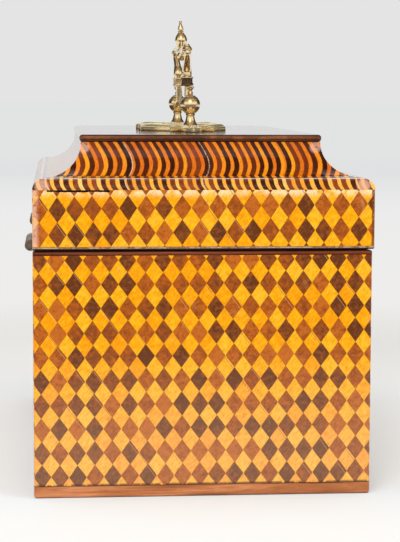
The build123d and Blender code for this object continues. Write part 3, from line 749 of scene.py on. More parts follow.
@dataclass(frozen=True)
class StripedVeneer:
    """Light and dark stripes laid across a moulding in short sections under polish.

    Attributes:
        bow: How the stripes bend.
        first_joint: Where the first joint is.
        section: Length of one section of veneer.
        sections: For each section in turn, where its first light stripe is and how far apart they are.
        lights: Colours of the light stripes.
        darks: Colours of the dark stripes.
        edge: The height of the top edge, which has a painted highlight along it and painted shade in the
            crease just above.
        underside: The level of the plain wood underneath.
        worn_and_glints: Spots rubbed pale and painted glints, each how far along from either end, how high
            and how wide.
        light_share: How much of the width the light stripes take.
        opened: The joints that have opened, as their middle number and how far from it they are counted.
    """

    bow: Bow
    first_joint: float
    section: float
    sections: tuple[tuple[float, float], ...]
    lights: tuple[Stop, ...]
    darks: tuple[Stop, ...]
    edge: float = 200.0
    underside: float = 0.0
    worn_and_glints: tuple[tuple[float, float, float], ...] = ()
    light_share: float = 0.46
    opened: tuple[float, float] = (1.5, 0.6)

    def build(self, name: str, lay: Lay) -> bpy.types.Material:
        """Build the veneer for one side.

        Args:
            name: The material's name.
            lay: How the pattern lies there.

        Returns:
            The material.
        """
        g = Graph.of_material(name)
        along, height = lay.along(g)
        flat = g.vector(along, height, lay.seed)
        straight = along + self.bow.at(g, height) + (g.noise(flat, 0.16, 2.0) * 0.7 - 0.35)
        from_joint = (straight - self.first_joint) / self.section
        wood, seam = self.stripes(g, lay, straight, from_joint, height)
        wood = g.mix(seam * 0.42, wood, STRIPE_SEAM)
        grain = g.noise(g.vector(straight * 5.0, height * 0.8, 4.0), 1.0, 4.0, 0.6)
        wood = g.mix(g.smooth(grain, 0.45, 0.75), wood, STRIPE_GRAIN, "MULTIPLY")

        # The joints that have opened are partly filled
        joint = round(from_joint)
        at_joint = abs(g.fraction(from_joint + 0.5) - 0.5) < g.noise(flat, 1.1, 3.0) * 0.016 - 0.001
        gap = at_joint * g.math("COMPARE", joint, *self.opened)
        filled = g.chance(joint, lay.seed + 1.5, 2.0) * 0.5 + g.noise(flat, 1.6, 2.0)
        wood = g.mix(gap * 0.8, wood, g.ramp(filled, FILLER))

        wood = self.wear(g, wood, lay, along, height)
        wood = g.mix(height < self.underside, wood, g.mix(grain, *BACKING))
        ripple = g.bump(g.noise(flat, 0.22, 3.0), 0.5, 0.6)
        normal = g.bump(grain * 0.2 - g.larger(seam * 0.4, gap), 0.14, 0.9, ripple)
        dull = g.noise(flat, 0.35, 3.0) * 0.2 + 0.2
        return g.finish(wood, dull, normal, coat=1.0, coat_roughness=0.09, specular=0.1)

    def stripes(self, g: Graph, lay: Lay, straight: Value, from_joint: Value,
                height: Value) -> tuple[Socket, Value]:
        """Lay the stripes, each section with its own first stripe and pitch from a stepped ramp.

        Args:
            g: The material's graph.
            lay: How the pattern lies there.
            straight: The distance along the side, as if the stripes were straight.
            from_joint: How many sections it is from the first joint.
            height: The height.

        Returns:
            The colour, and where two stripes meet.
        """
        section = math.floor(from_joint)
        kinds = len(self.sections)
        longest = max(max(kind) for kind in self.sections)
        stops = [(number / kinds, (start / longest, pitch / longest, 0.0, 1.0))
                 for number, (start, pitch) in enumerate(self.sections)]
        turn = g.fraction(section * (1 / kinds) + 0.5 / kinds)
        first_light, pitch, _ = g.parts(g.ramp(turn, stops, stepped=True))
        start = first_light * longest + (section * self.section + self.first_joint)
        even = (straight - start) / (pitch * longest)
        count = even + (g.noise(g.vector(even, section, lay.seed + 4.0), 0.9, 1.0) * 0.24 - 0.12)
        nearest = round(count)
        from_light = abs(count - nearest)
        streak = g.noise(g.vector(straight * 2.6, height * 0.35, 2.0), 1.0, 3.0) - 0.5
        light = g.ramp(g.chance(nearest, section, lay.seed) + streak, self.lights)
        dark = g.ramp(g.chance(math.floor(count), section, lay.seed + 0.5) + streak, self.darks)
        half_light = self.light_share / 2
        seam = g.smooth(abs(from_light - half_light), 0.06, 0.01)
        return g.mix(from_light > half_light, light, dark), seam

    def wear(self, g: Graph, wood: Socket, lay: Lay, along: Value, height: Value) -> Socket:
        """Chip the veneer, paint a highlight along its top edge with shade in the crease above, and paint
        pale spots, which are rubbed wear and painted glints.

        Args:
            g: The material's graph.
            wood: The colour so far.
            lay: How the pattern lies there.
            along: The distance along the side.
            height: The height.

        Returns:
            The colour with its wear.
        """
        flat = g.vector(along, height, lay.seed)
        chips = g.smooth(g.noise(flat, 0.7, 4.0, 0.7), 0.67, 0.74)
        wood = g.mix(chips * 0.45, wood, CHIP)
        # Painted highlight along the rounded top edge, broken in places, and painted shade in the crease just
        # above it.
        from_top = height - self.edge
        broken = g.smooth(g.noise(g.vector(along, 3.0, lay.seed), 0.2, 3.0), 0.34, 0.5)
        wood = g.mix(g.smooth(abs(from_top + 0.14), 0.16, 0.08) * broken * 0.8, wood, TOP_EDGE_HIGHLIGHT)
        wood = g.mix(g.smooth(abs(from_top - 0.08), 0.1, 0.05) * 0.8, wood, CREASE_SHADE)
        # Pale spots: rubbed wear on some, painted glints on others.
        from_end = lay.half_length - abs(along - lay.half_length)
        for place, level, width in self.worn_and_glints:
            apart = g.distance(from_end - place, height - level)
            patch = g.smooth(apart, width, width * 0.5) * g.smooth(g.noise(flat, 0.6, 3.0), 0.3, 0.46)
            wood = g.mix(patch * 0.6, wood, WORN_SPOT_AND_GLINT)
        return wood


@dataclass(frozen=True)
class SolidWood:
    """A board or strip of one wood.

    Attributes:
        deep: The colour of the dark figure.
        middle: The main colour.
        pale: The colour of the light figure.
        grain_axis: The axis along which the grain runs.
        figure_width: The width of the broad figure.
        gloss: How much polish lies over it.
        dullness: How dull the wood itself is.
        edges: Heights of thin dark lines along it.
        drawn_out: How often the figure changes along the grain, as a share of how often it does across it.
        pores_per_metre: How many pores there are in a metre across the grain.
    """

    deep: Colour
    middle: Colour
    pale: Colour
    grain_axis: int = 0
    figure_width: float = 9.0
    gloss: float = 0.0
    dullness: float = 0.5
    # edges: Heights of thin dark lines of painted shade along it, at its edges and joints.
    edges: tuple[float, ...] = ()
    drawn_out: float = 0.07
    pores_per_metre: float = 2600.0

    def build(self, name: str) -> bpy.types.Material:
        """Build the wood, its grain along one axis.

        Args:
            name: The material's name.

        Returns:
            The material.
        """
        g = Graph.of_material(name)
        stretch = [self.drawn_out if axis == self.grain_axis else 1.0 for axis in range(3)]
        broad = g.place([share / (self.figure_width * MM) for share in stretch])
        figure = g.noise(broad, 1.0, 3.0, 0.55, 1.1)
        pores = g.noise(g.place([share * self.pores_per_metre for share in stretch]), 1.0, 3.0, 0.6)
        wood = g.ramp(figure, ((0.3, self.deep), (0.5, self.middle), (0.72, self.pale)))
        wood = g.mix(g.smooth(pores, 0.52, 0.7) * 0.5, wood, self.deep)
        scuff = g.smooth(g.noise(g.place(120.0), 1.0, 4.0, 0.65), 0.6, 0.75)
        wood = g.mix(scuff * 0.22, wood, self.pale)
        # Painted shade: thin dark lines at the edges and joints, with ragged borders.
        if self.edges:
            ragged = g.spot()[2] + (g.noise(g.place(90.0), 1.0, 2.0) * 0.4 - 0.2)
            for edge in self.edges:
                wood = g.mix(g.smooth(abs(ragged - edge), 0.42, 0.2) * 0.85, wood, EDGE_SHADE_LINE)
        dull = figure * 0.15 + (self.dullness - 0.07)
        normal = g.bump(pores, 0.08, 0.5)
        return g.finish(wood, dull, normal, coat=self.gloss, coat_roughness=0.08, specular=0.16)


@dataclass(frozen=True)
class OldMetal:
    """Metal that has been handled and polished for long, with tarnish left in its hollows.

    Attributes:
        bright: The polished colour.
        tarnish: The colour in the hollows.
        dullness: How dull the polished parts are.
        dirt: How much of the surface the tarnish covers, from 0 to 1.
        painted_shade: From where to where along X and Z the metal is painted dark as shade.
        lustre: How metallic it still looks, from 0 to 1.
    """

    bright: Colour
    tarnish: Colour
    dullness: float
    dirt: float
    painted_shade: tuple[float, float, float, float] | None = None
    lustre: float = 0.94

    def build(self, name: str) -> bpy.types.Material:
        """Build the metal.

        Args:
            name: The material's name.

        Returns:
            The material.
        """
        g = Graph.of_material(name)
        hollow = g.smooth(g.node("ShaderNodeNewGeometry").outputs["Pointiness"], 0.51, 0.44)
        clouds = g.noise(g.place(260.0), 1.0, 5.0, 0.62, 0.4)
        specks = g.noise(g.place(1500.0), 1.0, 3.0, 0.6)
        spread_from = 0.78 - 0.4 * self.dirt
        aged = g.larger(hollow * 0.85, g.smooth(clouds, spread_from, spread_from + 0.2))
        colour = g.mix(aged, self.bright, self.tarnish)
        colour = g.mix(g.smooth(specks, 0.62, 0.72) * 0.35, colour, self.tarnish)
        # Painted shade on the bail's near collar, which faces away from the light.
        if self.painted_shade:
            left, right, low, high = self.painted_shade
            across, _, height = g.spot()
            shaded = g.between(across, left, right) * g.between(height, low, high) * 0.85
            colour = g.mix(shaded, colour, COLLAR_SHADE)
            aged = g.larger(aged, shaded)
        pits = g.bump(clouds + specks * 0.4, 0.1, 0.35)
        return g.finish(colour, aged * 0.3 + self.dullness, pits, metallic=self.lustre)


NEAR_END = Lay(Run.ALONG_Y, -1.0, 70.0, 1.0, gap=(6.0, 31.5))
FAR_END = Lay(Run.ALONG_Y, 1.0, 70.0, 2.0, gap=(96.0, 118.0))
FRONT = Lay(Run.ALONG_X, 1.0, 120.0, 3.0, gap=(31.0, 52.0))
BACK = Lay(Run.ALONG_X, -1.0, 120.0, 4.0)
LAYS: dict[str, Lay] = {"left": NEAR_END, "right": FAR_END, "front": FRONT, "back": BACK}

BODY_VENEER = LozengeVeneer(
    column_pitch=7.2415,
    row_pitch=9.963,
    first_column=10.15,
    first_row=58.64,
    lean=-0.01285,
    drift=0.00706,
    floor_reflection=0.2,
)
LID_VENEER = LozengeVeneer(
    column_pitch=7.285,
    row_pitch=10.37,
    first_column=2.75,
    first_row=119.32,
    lean=-0.0155,
    drift=0.0172,
    band_top=104.3,
    highlight_from=123.6,
    rubbed=0.75,
    edging=1.15,
)

CAVETTO_VENEER = StripedVeneer(
    Bow(137.0, 0.8, 6.0, 0.1),
    first_joint=9.7,
    section=31.9,
    sections=((1.4, 3.87), (0.4, 3.6), (2.65, 3.57), (3.4, 3.8)),
    lights=((0.0, srgb(208, 100, 4)), (0.45, srgb(232, 132, 6)), (1.0, srgb(244, 158, 12))),
    darks=((0.0, srgb(44, 12, 2)), (0.5, srgb(78, 26, 4)), (1.0, srgb(128, 52, 10))),
    worn_and_glints=((21.4, 144.2, 3.0),),
)
OVOLO_VENEER = StripedVeneer(
    Bow(131.0, 0.0, 6.0, -0.115),
    first_joint=5.9,
    section=31.9,
    sections=((2.1, 3.78), (0.0, 3.53), (1.45, 3.57), (1.36, 3.82)),
    lights=((0.0, srgb(228, 146, 40)), (0.5, srgb(240, 170, 52)), (1.0, srgb(246, 196, 104))),
    darks=((0.0, srgb(50, 18, 4)), (0.5, srgb(92, 38, 10)), (1.0, srgb(140, 64, 18))),
    edge=132.05,
    underside=127.42,
    worn_and_glints=((4.0, 129.0, 3.6),),
)

FOOT_WOOD = SolidWood(srgb(138, 76, 38), srgb(184, 112, 66), srgb(220, 146, 98), figure_width=3.6, gloss=0.4,
                      dullness=0.36, edges=(0.1, 5.15))
MAHOGANY = SolidWood(srgb(88, 40, 20), srgb(142, 76, 42), srgb(190, 112, 66), gloss=0.5, dullness=0.34)
RIM_WOOD = SolidWood(srgb(84, 30, 12), srgb(124, 58, 28), srgb(178, 88, 40), gloss=0.8, dullness=0.3,
                     edges=(100.65, 102.35))
DECK_WOOD = SolidWood(srgb(56, 28, 12), srgb(108, 58, 28), srgb(150, 90, 46), figure_width=14.0, gloss=1.0,
                      dullness=0.25, edges=(146.5, 147.35, 149.2))
CARCASE_WOOD = SolidWood(srgb(120, 84, 52), srgb(164, 124, 82), srgb(192, 154, 108), dullness=0.62)
LINING_WOOD = SolidWood(srgb(96, 50, 28), srgb(140, 80, 48), srgb(170, 106, 66), gloss=0.15, dullness=0.45)

CAST_BRASS = OldMetal(srgb(253, 232, 186), srgb(160, 108, 46), 0.2, 0.4, painted_shade=(-34.0, -24.0, 170.0, 173.7))
PLATE_BRASS = OldMetal(srgb(255, 236, 184), srgb(182, 136, 72), 0.22, 0.36, lustre=0.78)
AGED_BRASS = OldMetal(srgb(152, 136, 110), srgb(62, 52, 42), 0.36, 0.8)
IRON = OldMetal(srgb(150, 146, 140), srgb(70, 58, 48), 0.38, 0.6)


def deselect() -> None:
    """Deselect every object, so that an operator works on what is added next."""
    bpy.ops.object.select_all(action="DESELECT")


def pick(*pieces: Piece) -> None:
    """Select only these pieces and make the first one active.

    Args:
        *pieces: The pieces.
    """
    deselect()
    for piece in pieces:
        piece.select_set(True)
    bpy.context.view_layer.objects.active = pieces[0]


def settle(piece: Piece, place: Matrix) -> Piece:
    """Move a piece and put the move into its mesh.

    Args:
        piece: The piece.
        place: Where it goes.

    Returns:
        The piece, its object at the origin again.
    """
    pick(piece)
    piece.matrix_world = place @ piece.matrix_world
    bpy.ops.object.transform_apply(location=True, rotation=True, scale=True)
    return piece


def join(name: str, pieces: Sequence[Piece]) -> Piece:
    """Make one piece of several.

    Args:
        name: The name of the whole.
        pieces: The pieces, which it takes in.

    Returns:
        The whole.
    """
    pick(*pieces)
    bpy.ops.object.join()
    whole = bpy.context.object
    whole.name = name
    return whole


def copy_mesh(source: Piece, name: str) -> Piece:
    """Make a new piece with its own copy of another's mesh.

    Args:
        source: The piece to copy.
        name: The new piece's name.

    Returns:
        The new piece.
    """
    copy = bpy.data.objects.new(name, source.data.copy())
    bpy.context.scene.collection.objects.link(copy)
    return copy


def carve(piece: Piece, cutter: Piece) -> None:
    """Take one shape out of a piece and throw the shape away.

    Args:
        piece: The piece.
        cutter: The shape to take out.
    """
    pick(piece)
    cut = piece.modifiers.new("cut", "BOOLEAN")
    cut.operation = "DIFFERENCE"
    cut.object = cutter
    bpy.ops.object.modifier_apply(modifier=cut.name)
    bpy.data.objects.remove(cutter)


def ball_profile(radius: float, middle: float, low: float, high: float, steps: int = 12) -> Profile:
    """The part of a ball's profile between two levels.

    Args:
        radius: The ball's radius.
        middle: The level of its middle.
        low: The level where the part starts.
        high: The level where it ends.
        steps: How many points it has.

    Returns:
        Radius and level of each point.
    """
    first = math.asin((low - middle) / radius)
    last = math.asin((high - middle) / radius)
    turns = [first + (last - first) * step / (steps - 1) for step in range(steps)]
    return tuple((radius * math.cos(turn), middle + radius * math.sin(turn)) for turn in turns)


@dataclass(frozen=True)
class Turning:
    """Lathe work on an upright axis.

    Attributes:
        profile: Radius and level of each point, from the foot up.
        segments: How many sides the round has.
    """

    profile: Profile
    segments: int = 40

    def cut(self, name: str, place: Matrix) -> Piece:
        """Turn the piece, one extrusion for each point of its profile.

        Args:
            name: The piece's name.
            place: Where its axis stands.

        Returns:
            The turned piece.
        """
        deselect()
        radius, level = self.profile[0]
        bpy.ops.mesh.primitive_circle_add(vertices=self.segments, radius=radius * MM, fill_type="NGON",
                                          location=(0, 0, level * MM))
        turned = bpy.context.object
        turned.name = name
        bpy.ops.object.mode_set(mode="EDIT")
        bpy.ops.mesh.select_all(action="SELECT")
        for next_radius, next_level in self.profile[1:]:
            share = next_radius / radius
            rise = (0, 0, (next_level - level) * MM)
            bpy.ops.mesh.extrude_region_move(TRANSFORM_OT_translate={"value": rise})
            bpy.ops.transform.resize(value=(share, share, 1), center_override=(0, 0, next_level * MM))
            radius, level = next_radius, next_level
        bpy.ops.mesh.select_all(action="SELECT")
        bpy.ops.mesh.normals_make_consistent(inside=False)
        bpy.ops.object.mode_set(mode="OBJECT")
        bpy.ops.object.shade_smooth_by_angle(angle=math.radians(32))
        return settle(turned, place)


@dataclass(frozen=True)
class Rod:
    """A round bar whose thickness changes along a smooth line.

    Attributes:
        points: The points that guide its middle line.
        radii: Its radius at each of them.
        sides: How finely it is rounded.
    """

    points: tuple[tuple[float, float, float], ...]
    radii: tuple[float, ...]
    sides: int = 4

    def forge(self, name: str) -> Piece:
        """Draw the line, thicken it and make it a mesh.

        Args:
            name: The rod's name.

        Returns:
            The rod.
        """
        deselect()
        bpy.ops.curve.primitive_nurbs_path_add()
        rod = bpy.context.object
        rod.name = name
        line = rod.data
        line.splines.clear()
        spline = line.splines.new("NURBS")
        spline.points.add(len(self.points) - 1)
        for point, place, radius in zip(spline.points, self.points, self.radii):
            point.co = (place[0] * MM, place[1] * MM, place[2] * MM, 1.0)
            point.radius = radius
        spline.order_u = 3
        spline.use_endpoint_u = True
        spline.resolution_u = 8
        line.bevel_depth = MM
        line.bevel_resolution = self.sides
        line.use_fill_caps = True
        bpy.ops.object.convert(target="MESH")
        bpy.ops.object.shade_smooth_by_angle(angle=math.radians(50))
        return rod


def paint(node: str, material: bpy.types.Material) -> None:
    """Give a carried-over node its finish.

    Args:
        node: The node's name.
        material: What it gets on all its slots.
    """
    slots = bpy.data.objects[node].data.materials
    slots.clear()
    slots.append(material)


def grained(wood: SolidWood, axis: int) -> SolidWood:
    """The same wood with its grain along another axis."""
    return replace(wood, grain_axis=axis)


@dataclass
class Body:
    """The carcase with its veneers, base strips, rim banding, lining and partitions."""

    def dress(self) -> None:
        """Give each piece of the body its finish."""
        for side, lay in LAYS.items():
            paint(f"parquetry_{side}", BODY_VENEER.build(f"body_lozenges_{side}", lay))
            axis = lay.run.value
            paint(f"base_strip_{side}", grained(FOOT_WOOD, axis).build(f"base_mahogany_{side}"))
            paint(f"rim_band_{side}", grained(RIM_WOOD, axis).build(f"rim_mahogany_{side}"))
            paint(f"lining_{side}", grained(LINING_WOOD, axis).build(f"lining_wood_{side}"))
        for board, axis in {"bottom": 0, "front": 0, "back": 0, "left_end": 1, "right_end": 1}.items():
            paint(f"carcase_{board}", grained(CARCASE_WOOD, axis).build(f"carcase_{board}_wood"))
        for hand in ("left", "right"):
            paint(f"partition_{hand}", grained(LINING_WOOD, 1).build(f"partition_{hand}_wood"))
        log.info("body dressed")


@dataclass
class TeaLids:
    """The lift-out lids over the tea, with their turned knobs."""

    def dress(self) -> None:
        """Give the lids and knobs their finish."""
        for hand in ("left", "right"):
            paint(f"tea_lid_{hand}", grained(MAHOGANY, 1).build(f"tea_lid_{hand}_wood"))
            paint(f"tea_lid_knob_{hand}", AGED_BRASS.build(f"tea_lid_knob_{hand}_brass"))
        log.info("tea lids dressed")


@dataclass
class Lid:
    """The frieze frame, its veneers, the striped mouldings and the deck."""

    def dress(self) -> None:
        """Give each piece of the lid its finish."""
        for side, lay in LAYS.items():
            paint(f"lid_parquetry_{side}", LID_VENEER.build(f"lid_lozenges_{side}", lay))
            paint(f"cavetto_{side}", CAVETTO_VENEER.build(f"cavetto_stripes_{side}", lay))
            paint(f"ovolo_{side}", OVOLO_VENEER.build(f"ovolo_stripes_{side}", lay))
        for board, axis in {"front": 0, "back": 0, "left_end": 1, "right_end": 1, "top": 0}.items():
            paint(f"lid_{board}_board", grained(CARCASE_WOOD, axis).build(f"lid_{board}_wood"))
        paint("deck_panel", DECK_WOOD.build("deck_wood"))
        log.info("lid dressed")


@dataclass
class Fittings:
    """The hinges and the lock, with their screws.

    Attributes:
        screw_head: Profile of a countersunk screw's head, about the surface that it is sunk in.
        slot_width: Width of its slot.
        slot_length: Length of the cut, which runs out past the head on both sides.
        slot_floor: How far the slot's floor lies above that surface.
        lower_row: Where a hinge's lower screws are along it, from its middle.
        upper_row: Where its upper screws are.
        lock_row: Where the lock plate's screws are, from the middle of the lid.
        leaf_middle: How far from the back of the box the middle of a hinge leaf lies.
        slot_turns: How far each screw in turn has been driven, in degrees.
    """

    screw_head: Profile = ((1.0, -0.9), (1.9, -0.05), (1.92, 0.08), (1.7, 0.15), (1.1, 0.19), (0.1, 0.2))
    slot_width: float = 0.5
    slot_length: float = 5.0
    slot_floor: float = 0.03
    lower_row: tuple[float, ...] = (-13.0, 0.0, 13.0)
    upper_row: tuple[float, ...] = (-14.0, 1.5, 14.5)
    lock_row: tuple[float, ...] = (-21.8, 21.8)
    leaf_middle: float = 4.7
    slot_turns: tuple[float, ...] = (14.0, 71.0, 128.0, 40.0, 165.0, 97.0, 3.0)

    def dress(self) -> None:
        """Give the hinges and the lock their finish and drive their screws."""
        for hand in ("left", "right"):
            for part in ("hinge_lower_leaf", "hinge_upper_leaf"):
                paint(f"{part}_{hand}", AGED_BRASS.build(f"{part}_{hand}_brass"))
            paint(f"hinge_pin_{hand}", IRON.build(f"hinge_pin_{hand}_iron"))
        for part in ("lock_case", "lock_bolt", "lock_hook_plate"):
            paint(part, IRON.build(f"{part}_iron"))
        paint("escutcheon", CAST_BRASS.build("escutcheon_brass"))
        self.drive_screws()
        log.info("fittings dressed")

    def model_screw(self) -> Piece:
        """Model one slotted screw head, facing up at the origin.

        Returns:
            The screw head.
        """
        head = Turning(self.screw_head, segments=28).cut("screw_pattern", Matrix())
        deselect()
        bpy.ops.mesh.primitive_cube_add(size=MM, location=(0, 0, (self.slot_floor + 0.5) * MM))
        slot = bpy.context.object
        slot.scale = (self.slot_length, self.slot_width, 1.0)
        bpy.ops.object.transform_apply(location=True, scale=True)
        carve(head, slot)
        return head

    def drive_screws(self) -> None:
        """Copy the screw head into each place where a plate or leaf is screwed down."""
        pattern = self.model_screw()
        rows: list[tuple[str, str, float, float, tuple[float, ...]]] = []
        for hand in ("left", "right"):
            low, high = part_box(f"hinge_lower_leaf_{hand}")
            middle = (low[0] + high[0]) / 2
            across = low[1] + self.leaf_middle * MM
            rows.append((f"hinge_{hand}_lower", "caddy_body", middle, across, self.lower_row))
            rows.append((f"hinge_{hand}_upper", "lid", middle, across, self.upper_row))
        low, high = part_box("lock_hook_plate")
        across = (low[1] + high[1]) / 2
        rows.append(("lock_plate", "caddy_body", 0.0, across, self.lock_row))
        rows.append(("hook_plate", "lid", 0.0, across, self.lock_row))
        places = [(group, body, middle + offset * MM, across)
                  for group, body, middle, across, offsets in rows for offset in offsets]
        brass = AGED_BRASS.build("screw_brass")
        for number, (group, body, along, across) in enumerate(places):
            screw = copy_mesh(pattern, f"{group}_screw_{number + 1}")
            turn = Matrix.Rotation(math.radians(self.slot_turns[number % len(self.slot_turns)]), 4, "Z")
            level, tilt = (LID_BOTTOM, math.pi) if body == "lid" else (RIM_TOP, 0.0)
            flip = Matrix.Rotation(tilt, 4, "X")
            settle(screw, Matrix.Translation((along, across, level * MM)) @ flip @ turn)
            screw.data.materials.append(brass)
            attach(screw, body)
        bpy.data.objects.remove(pattern)
        log.info("%d screws driven", len(places))


@dataclass
class Handle:
    """The back plate, the two posts and the swan-neck bail, which is modelled upright and then leant back.

    Attributes:
        post_x: How far each post stands from the middle.
        middle_y: Where the handle's middle line is.
        plate_foot: The level of the plate's underside.
        plate_top: The level of the plate's face.
        pivot_z: The level of the bail's pivots.
        lean: How far the bail leans back at rest, in degrees.
        ball_radius: Radius of the ball that a pivot enters.
        ball_level: Level of its middle above the plate.
        pivot_hole: Radius of the hole for the pivot.
        voxel: How finely the cast plate is modelled.
        welded: How close together points of the plate's mesh become one.
        foot_slice: How far above the plate's foot its mesh is pressed flat again.
        stud_length: How far each post's stud reaches down through the lid.
        thread_top: The level, about the plate's face, up to which the stud is threaded.
        thread_pitch: How far apart its threads are.
        front_reach: How far the plate reaches to the front of the middle line.
        back_reach: How far it reaches to the back.
        curl_offset: How far from the plate's middle its outer curls are.
        curl_radius: Radius of those curls.
        spine_start: How far from the plate's middle its spine parts.
        cartouche: Half sizes of the opening in the plate's middle.
        bail_rise: How far the bail's top bar stands above its pivots.
        collar_x: How far from the middle the collar on each neck is.
        collar_rise: How far it stands above the pivots.
        knop_x: How far from the middle the knop at each end of the top bar is.
    """

    post_x: float = 41.25
    middle_y: float = -0.4
    plate_foot: float = 149.476
    plate_top: float = 151.476
    pivot_z: float = 161.576
    lean: float = 2.4
    ball_radius: float = 4.45
    ball_level: float = 10.1
    pivot_hole: float = 1.25
    voxel: float = 0.36
    welded: float = 0.001
    foot_slice: float = 0.3
    stud_length: float = 27.476
    thread_top: float = -20.5
    thread_pitch: float = 0.8
    front_reach: float = -17.8
    back_reach: float = 22.1
    curl_offset: float = 13.5
    curl_radius: float = 3.4
    spine_start: float = 24.0
    cartouche: tuple[float, float] = (9.0, 11.0)
    bail_rise: float = 24.8
    collar_x: float = 27.5
    collar_rise: float = 10.6
    knop_x: float = 35.3

    def dress(self) -> None:
        """Model the handle and give it its finish."""
        brass = CAST_BRASS.build("handle_brass")
        self.add(self.plate(), PLATE_BRASS.build("plate_brass"), "lid", "handle_plate")
        for name, hand in (("left", -1), ("right", 1)):
            self.add(self.post(name, hand), brass, "lid", f"handle_post_{name}")
        self.add(self.bail(), brass, "bail", "bail")
        paint("handle_nuts", IRON.build("handle_nuts_iron"))

    def add(self, piece: Piece, brass: bpy.types.Material, body: str, node: str) -> None:
        """Put a finished piece in the place of its node.

        Args:
            piece: The piece.
            brass: Its finish.
            body: What it moves with.
            node: The node that it stands for.
        """
        piece.data.materials.clear()
        piece.data.materials.append(brass)
        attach(piece, body)
        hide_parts(node)
        log.info("%s modelled", piece.name)

    def rib(self, tail: tuple[float, float], tip: tuple[float, float], bow: float,
            radii: tuple[float, float, float]) -> Piece:
        """A raised rib on the plate's face.

        Args:
            tail: Where it starts, about the plate's middle.
            tip: Where it ends.
            bow: How far its middle stands to the left of the run.
            radii: Its thickness at the tail, in the middle and at the tip.

        Returns:
            The rib.
        """
        start = Vector((tail[0], tail[1] + self.middle_y, self.plate_top))
        end = Vector((tip[0], tip[1] + self.middle_y, self.plate_top))
        run = end - start
        left = Vector((-run.y, run.x, 0)).normalized()
        points = [start]
        thickness = [radii[0]]
        for share, part in ((0.25, 0.78), (0.5, 1.04), (0.75, 0.78)):
            points.append(start + run * share + left * bow * part)
            near = radii[0] if share < 0.5 else radii[2]
            thickness.append(radii[1] if share == 0.5 else (near + 2 * radii[1]) / 3)
        points.append(end)
        thickness.append(radii[2])
        return Rod(tuple(tuple(point) for point in points), tuple(thickness)).forge("rib")

    def bead(self, across: float, along: float, size: tuple[float, float, float], turn: float = 0.0) -> Piece:
        """A raised boss or lobe on the plate's face.

        Args:
            across: Where it is along the length of the box.
            along: Where it is along the depth.
            size: Its half sizes.
            turn: How far it is turned, in degrees.

        Returns:
            The bead.
        """
        deselect()
        bpy.ops.mesh.primitive_ico_sphere_add(subdivisions=3, radius=MM)
        bead = bpy.context.object
        place = Matrix.Translation((across * MM, (along + self.middle_y) * MM, self.plate_top * MM))
        spread = Matrix.Diagonal((*size, 1.0))
        return settle(bead, place @ Matrix.Rotation(math.radians(turn), 4, "Z") @ spread)

    def ring(self, across: float, along: float, radii: tuple[float, float], thickness: float) -> Piece:
        """A raised ring on the plate's face.

        Args:
            across: Where its middle is along the length of the box.
            along: Where it is along the depth.
            radii: Its half sizes.
            thickness: The radius of its section.

        Returns:
            The ring.
        """
        deselect()
        bpy.ops.mesh.primitive_torus_add(major_radius=radii[0] * MM, minor_radius=thickness * MM,
                                         major_segments=40, minor_segments=10)
        ring = bpy.context.object
        place = Matrix.Translation((across * MM, (along + self.middle_y) * MM, self.plate_top * MM))
        return settle(ring, place @ Matrix.Diagonal((1.0, radii[1] / radii[0], 1.0, 1.0)))

    def quarter(self, end: int, reach: float) -> list[Piece]:
        """The raised scrolls, curl and leaf of one quarter of the plate.

        Args:
            end: -1 for the near end, 1 for the far one.
            reach: How far this side reaches from the middle line.

        Returns:
            The ribs, beads and rings.
        """
        out = 1 if reach > 0 else -1
        turn = end * out
        curl = (end * self.curl_offset, reach - out * self.curl_radius)
        spine_end = (end * self.spine_start, 0.0)
        from_post = (end * (self.post_x - 3.4), out * 3.4)
        by_post = (end * self.post_x, out * self.curl_radius)
        leaf = (end * (self.post_x + 12.0), out * 10.0)
        return [
            self.rib(from_post, (curl[0], reach - out * 1.2), -turn * 4.6, (0.6, 1.3, 0.9)),
            self.rib((end * 1.1, out * self.cartouche[1]), curl, turn * 2.3, (0.5, 0.9, 0.7)),
            self.rib(curl, spine_end, -turn * 3.1, (0.7, 1.1, 0.6)),
            self.rib(spine_end, by_post, turn * 1.2, (0.6, 1.2, 0.6)),
            self.rib(by_post, leaf, 0.0, (0.8, 0.9, 0.35)),
            self.ring(*curl, (2.25, 2.25), 0.8),
            self.bead(end * 5.2, out * 11.0, (1.9, 2.2, 0.9)),
        ]

    def leaf(self, end: int) -> list[Piece]:
        """The fluted leaf at one end of the plate, and the beaded spine that leads to it.

        Args:
            end: -1 for the near end, 1 for the far one.

        Returns:
            The lobes, beads and rings.
        """
        lobes = [self.bead(end * 54.0, 0.0, (7.6, 1.25, 1.15))]
        for side in (-1, 1):
            lobes.append(self.bead(end * 51.6, side * 2.5, (5.0, 1.05, 1.0), turn=-end * side * 6.0))
        beads = [self.bead(end * (10.8 + 2.3 * step), 0.0, (1.0, 1.0, 0.8)) for step in range(6)]
        return lobes + beads + [self.ring(end * self.post_x, 0.0, (5.5, 5.5), 0.75)]

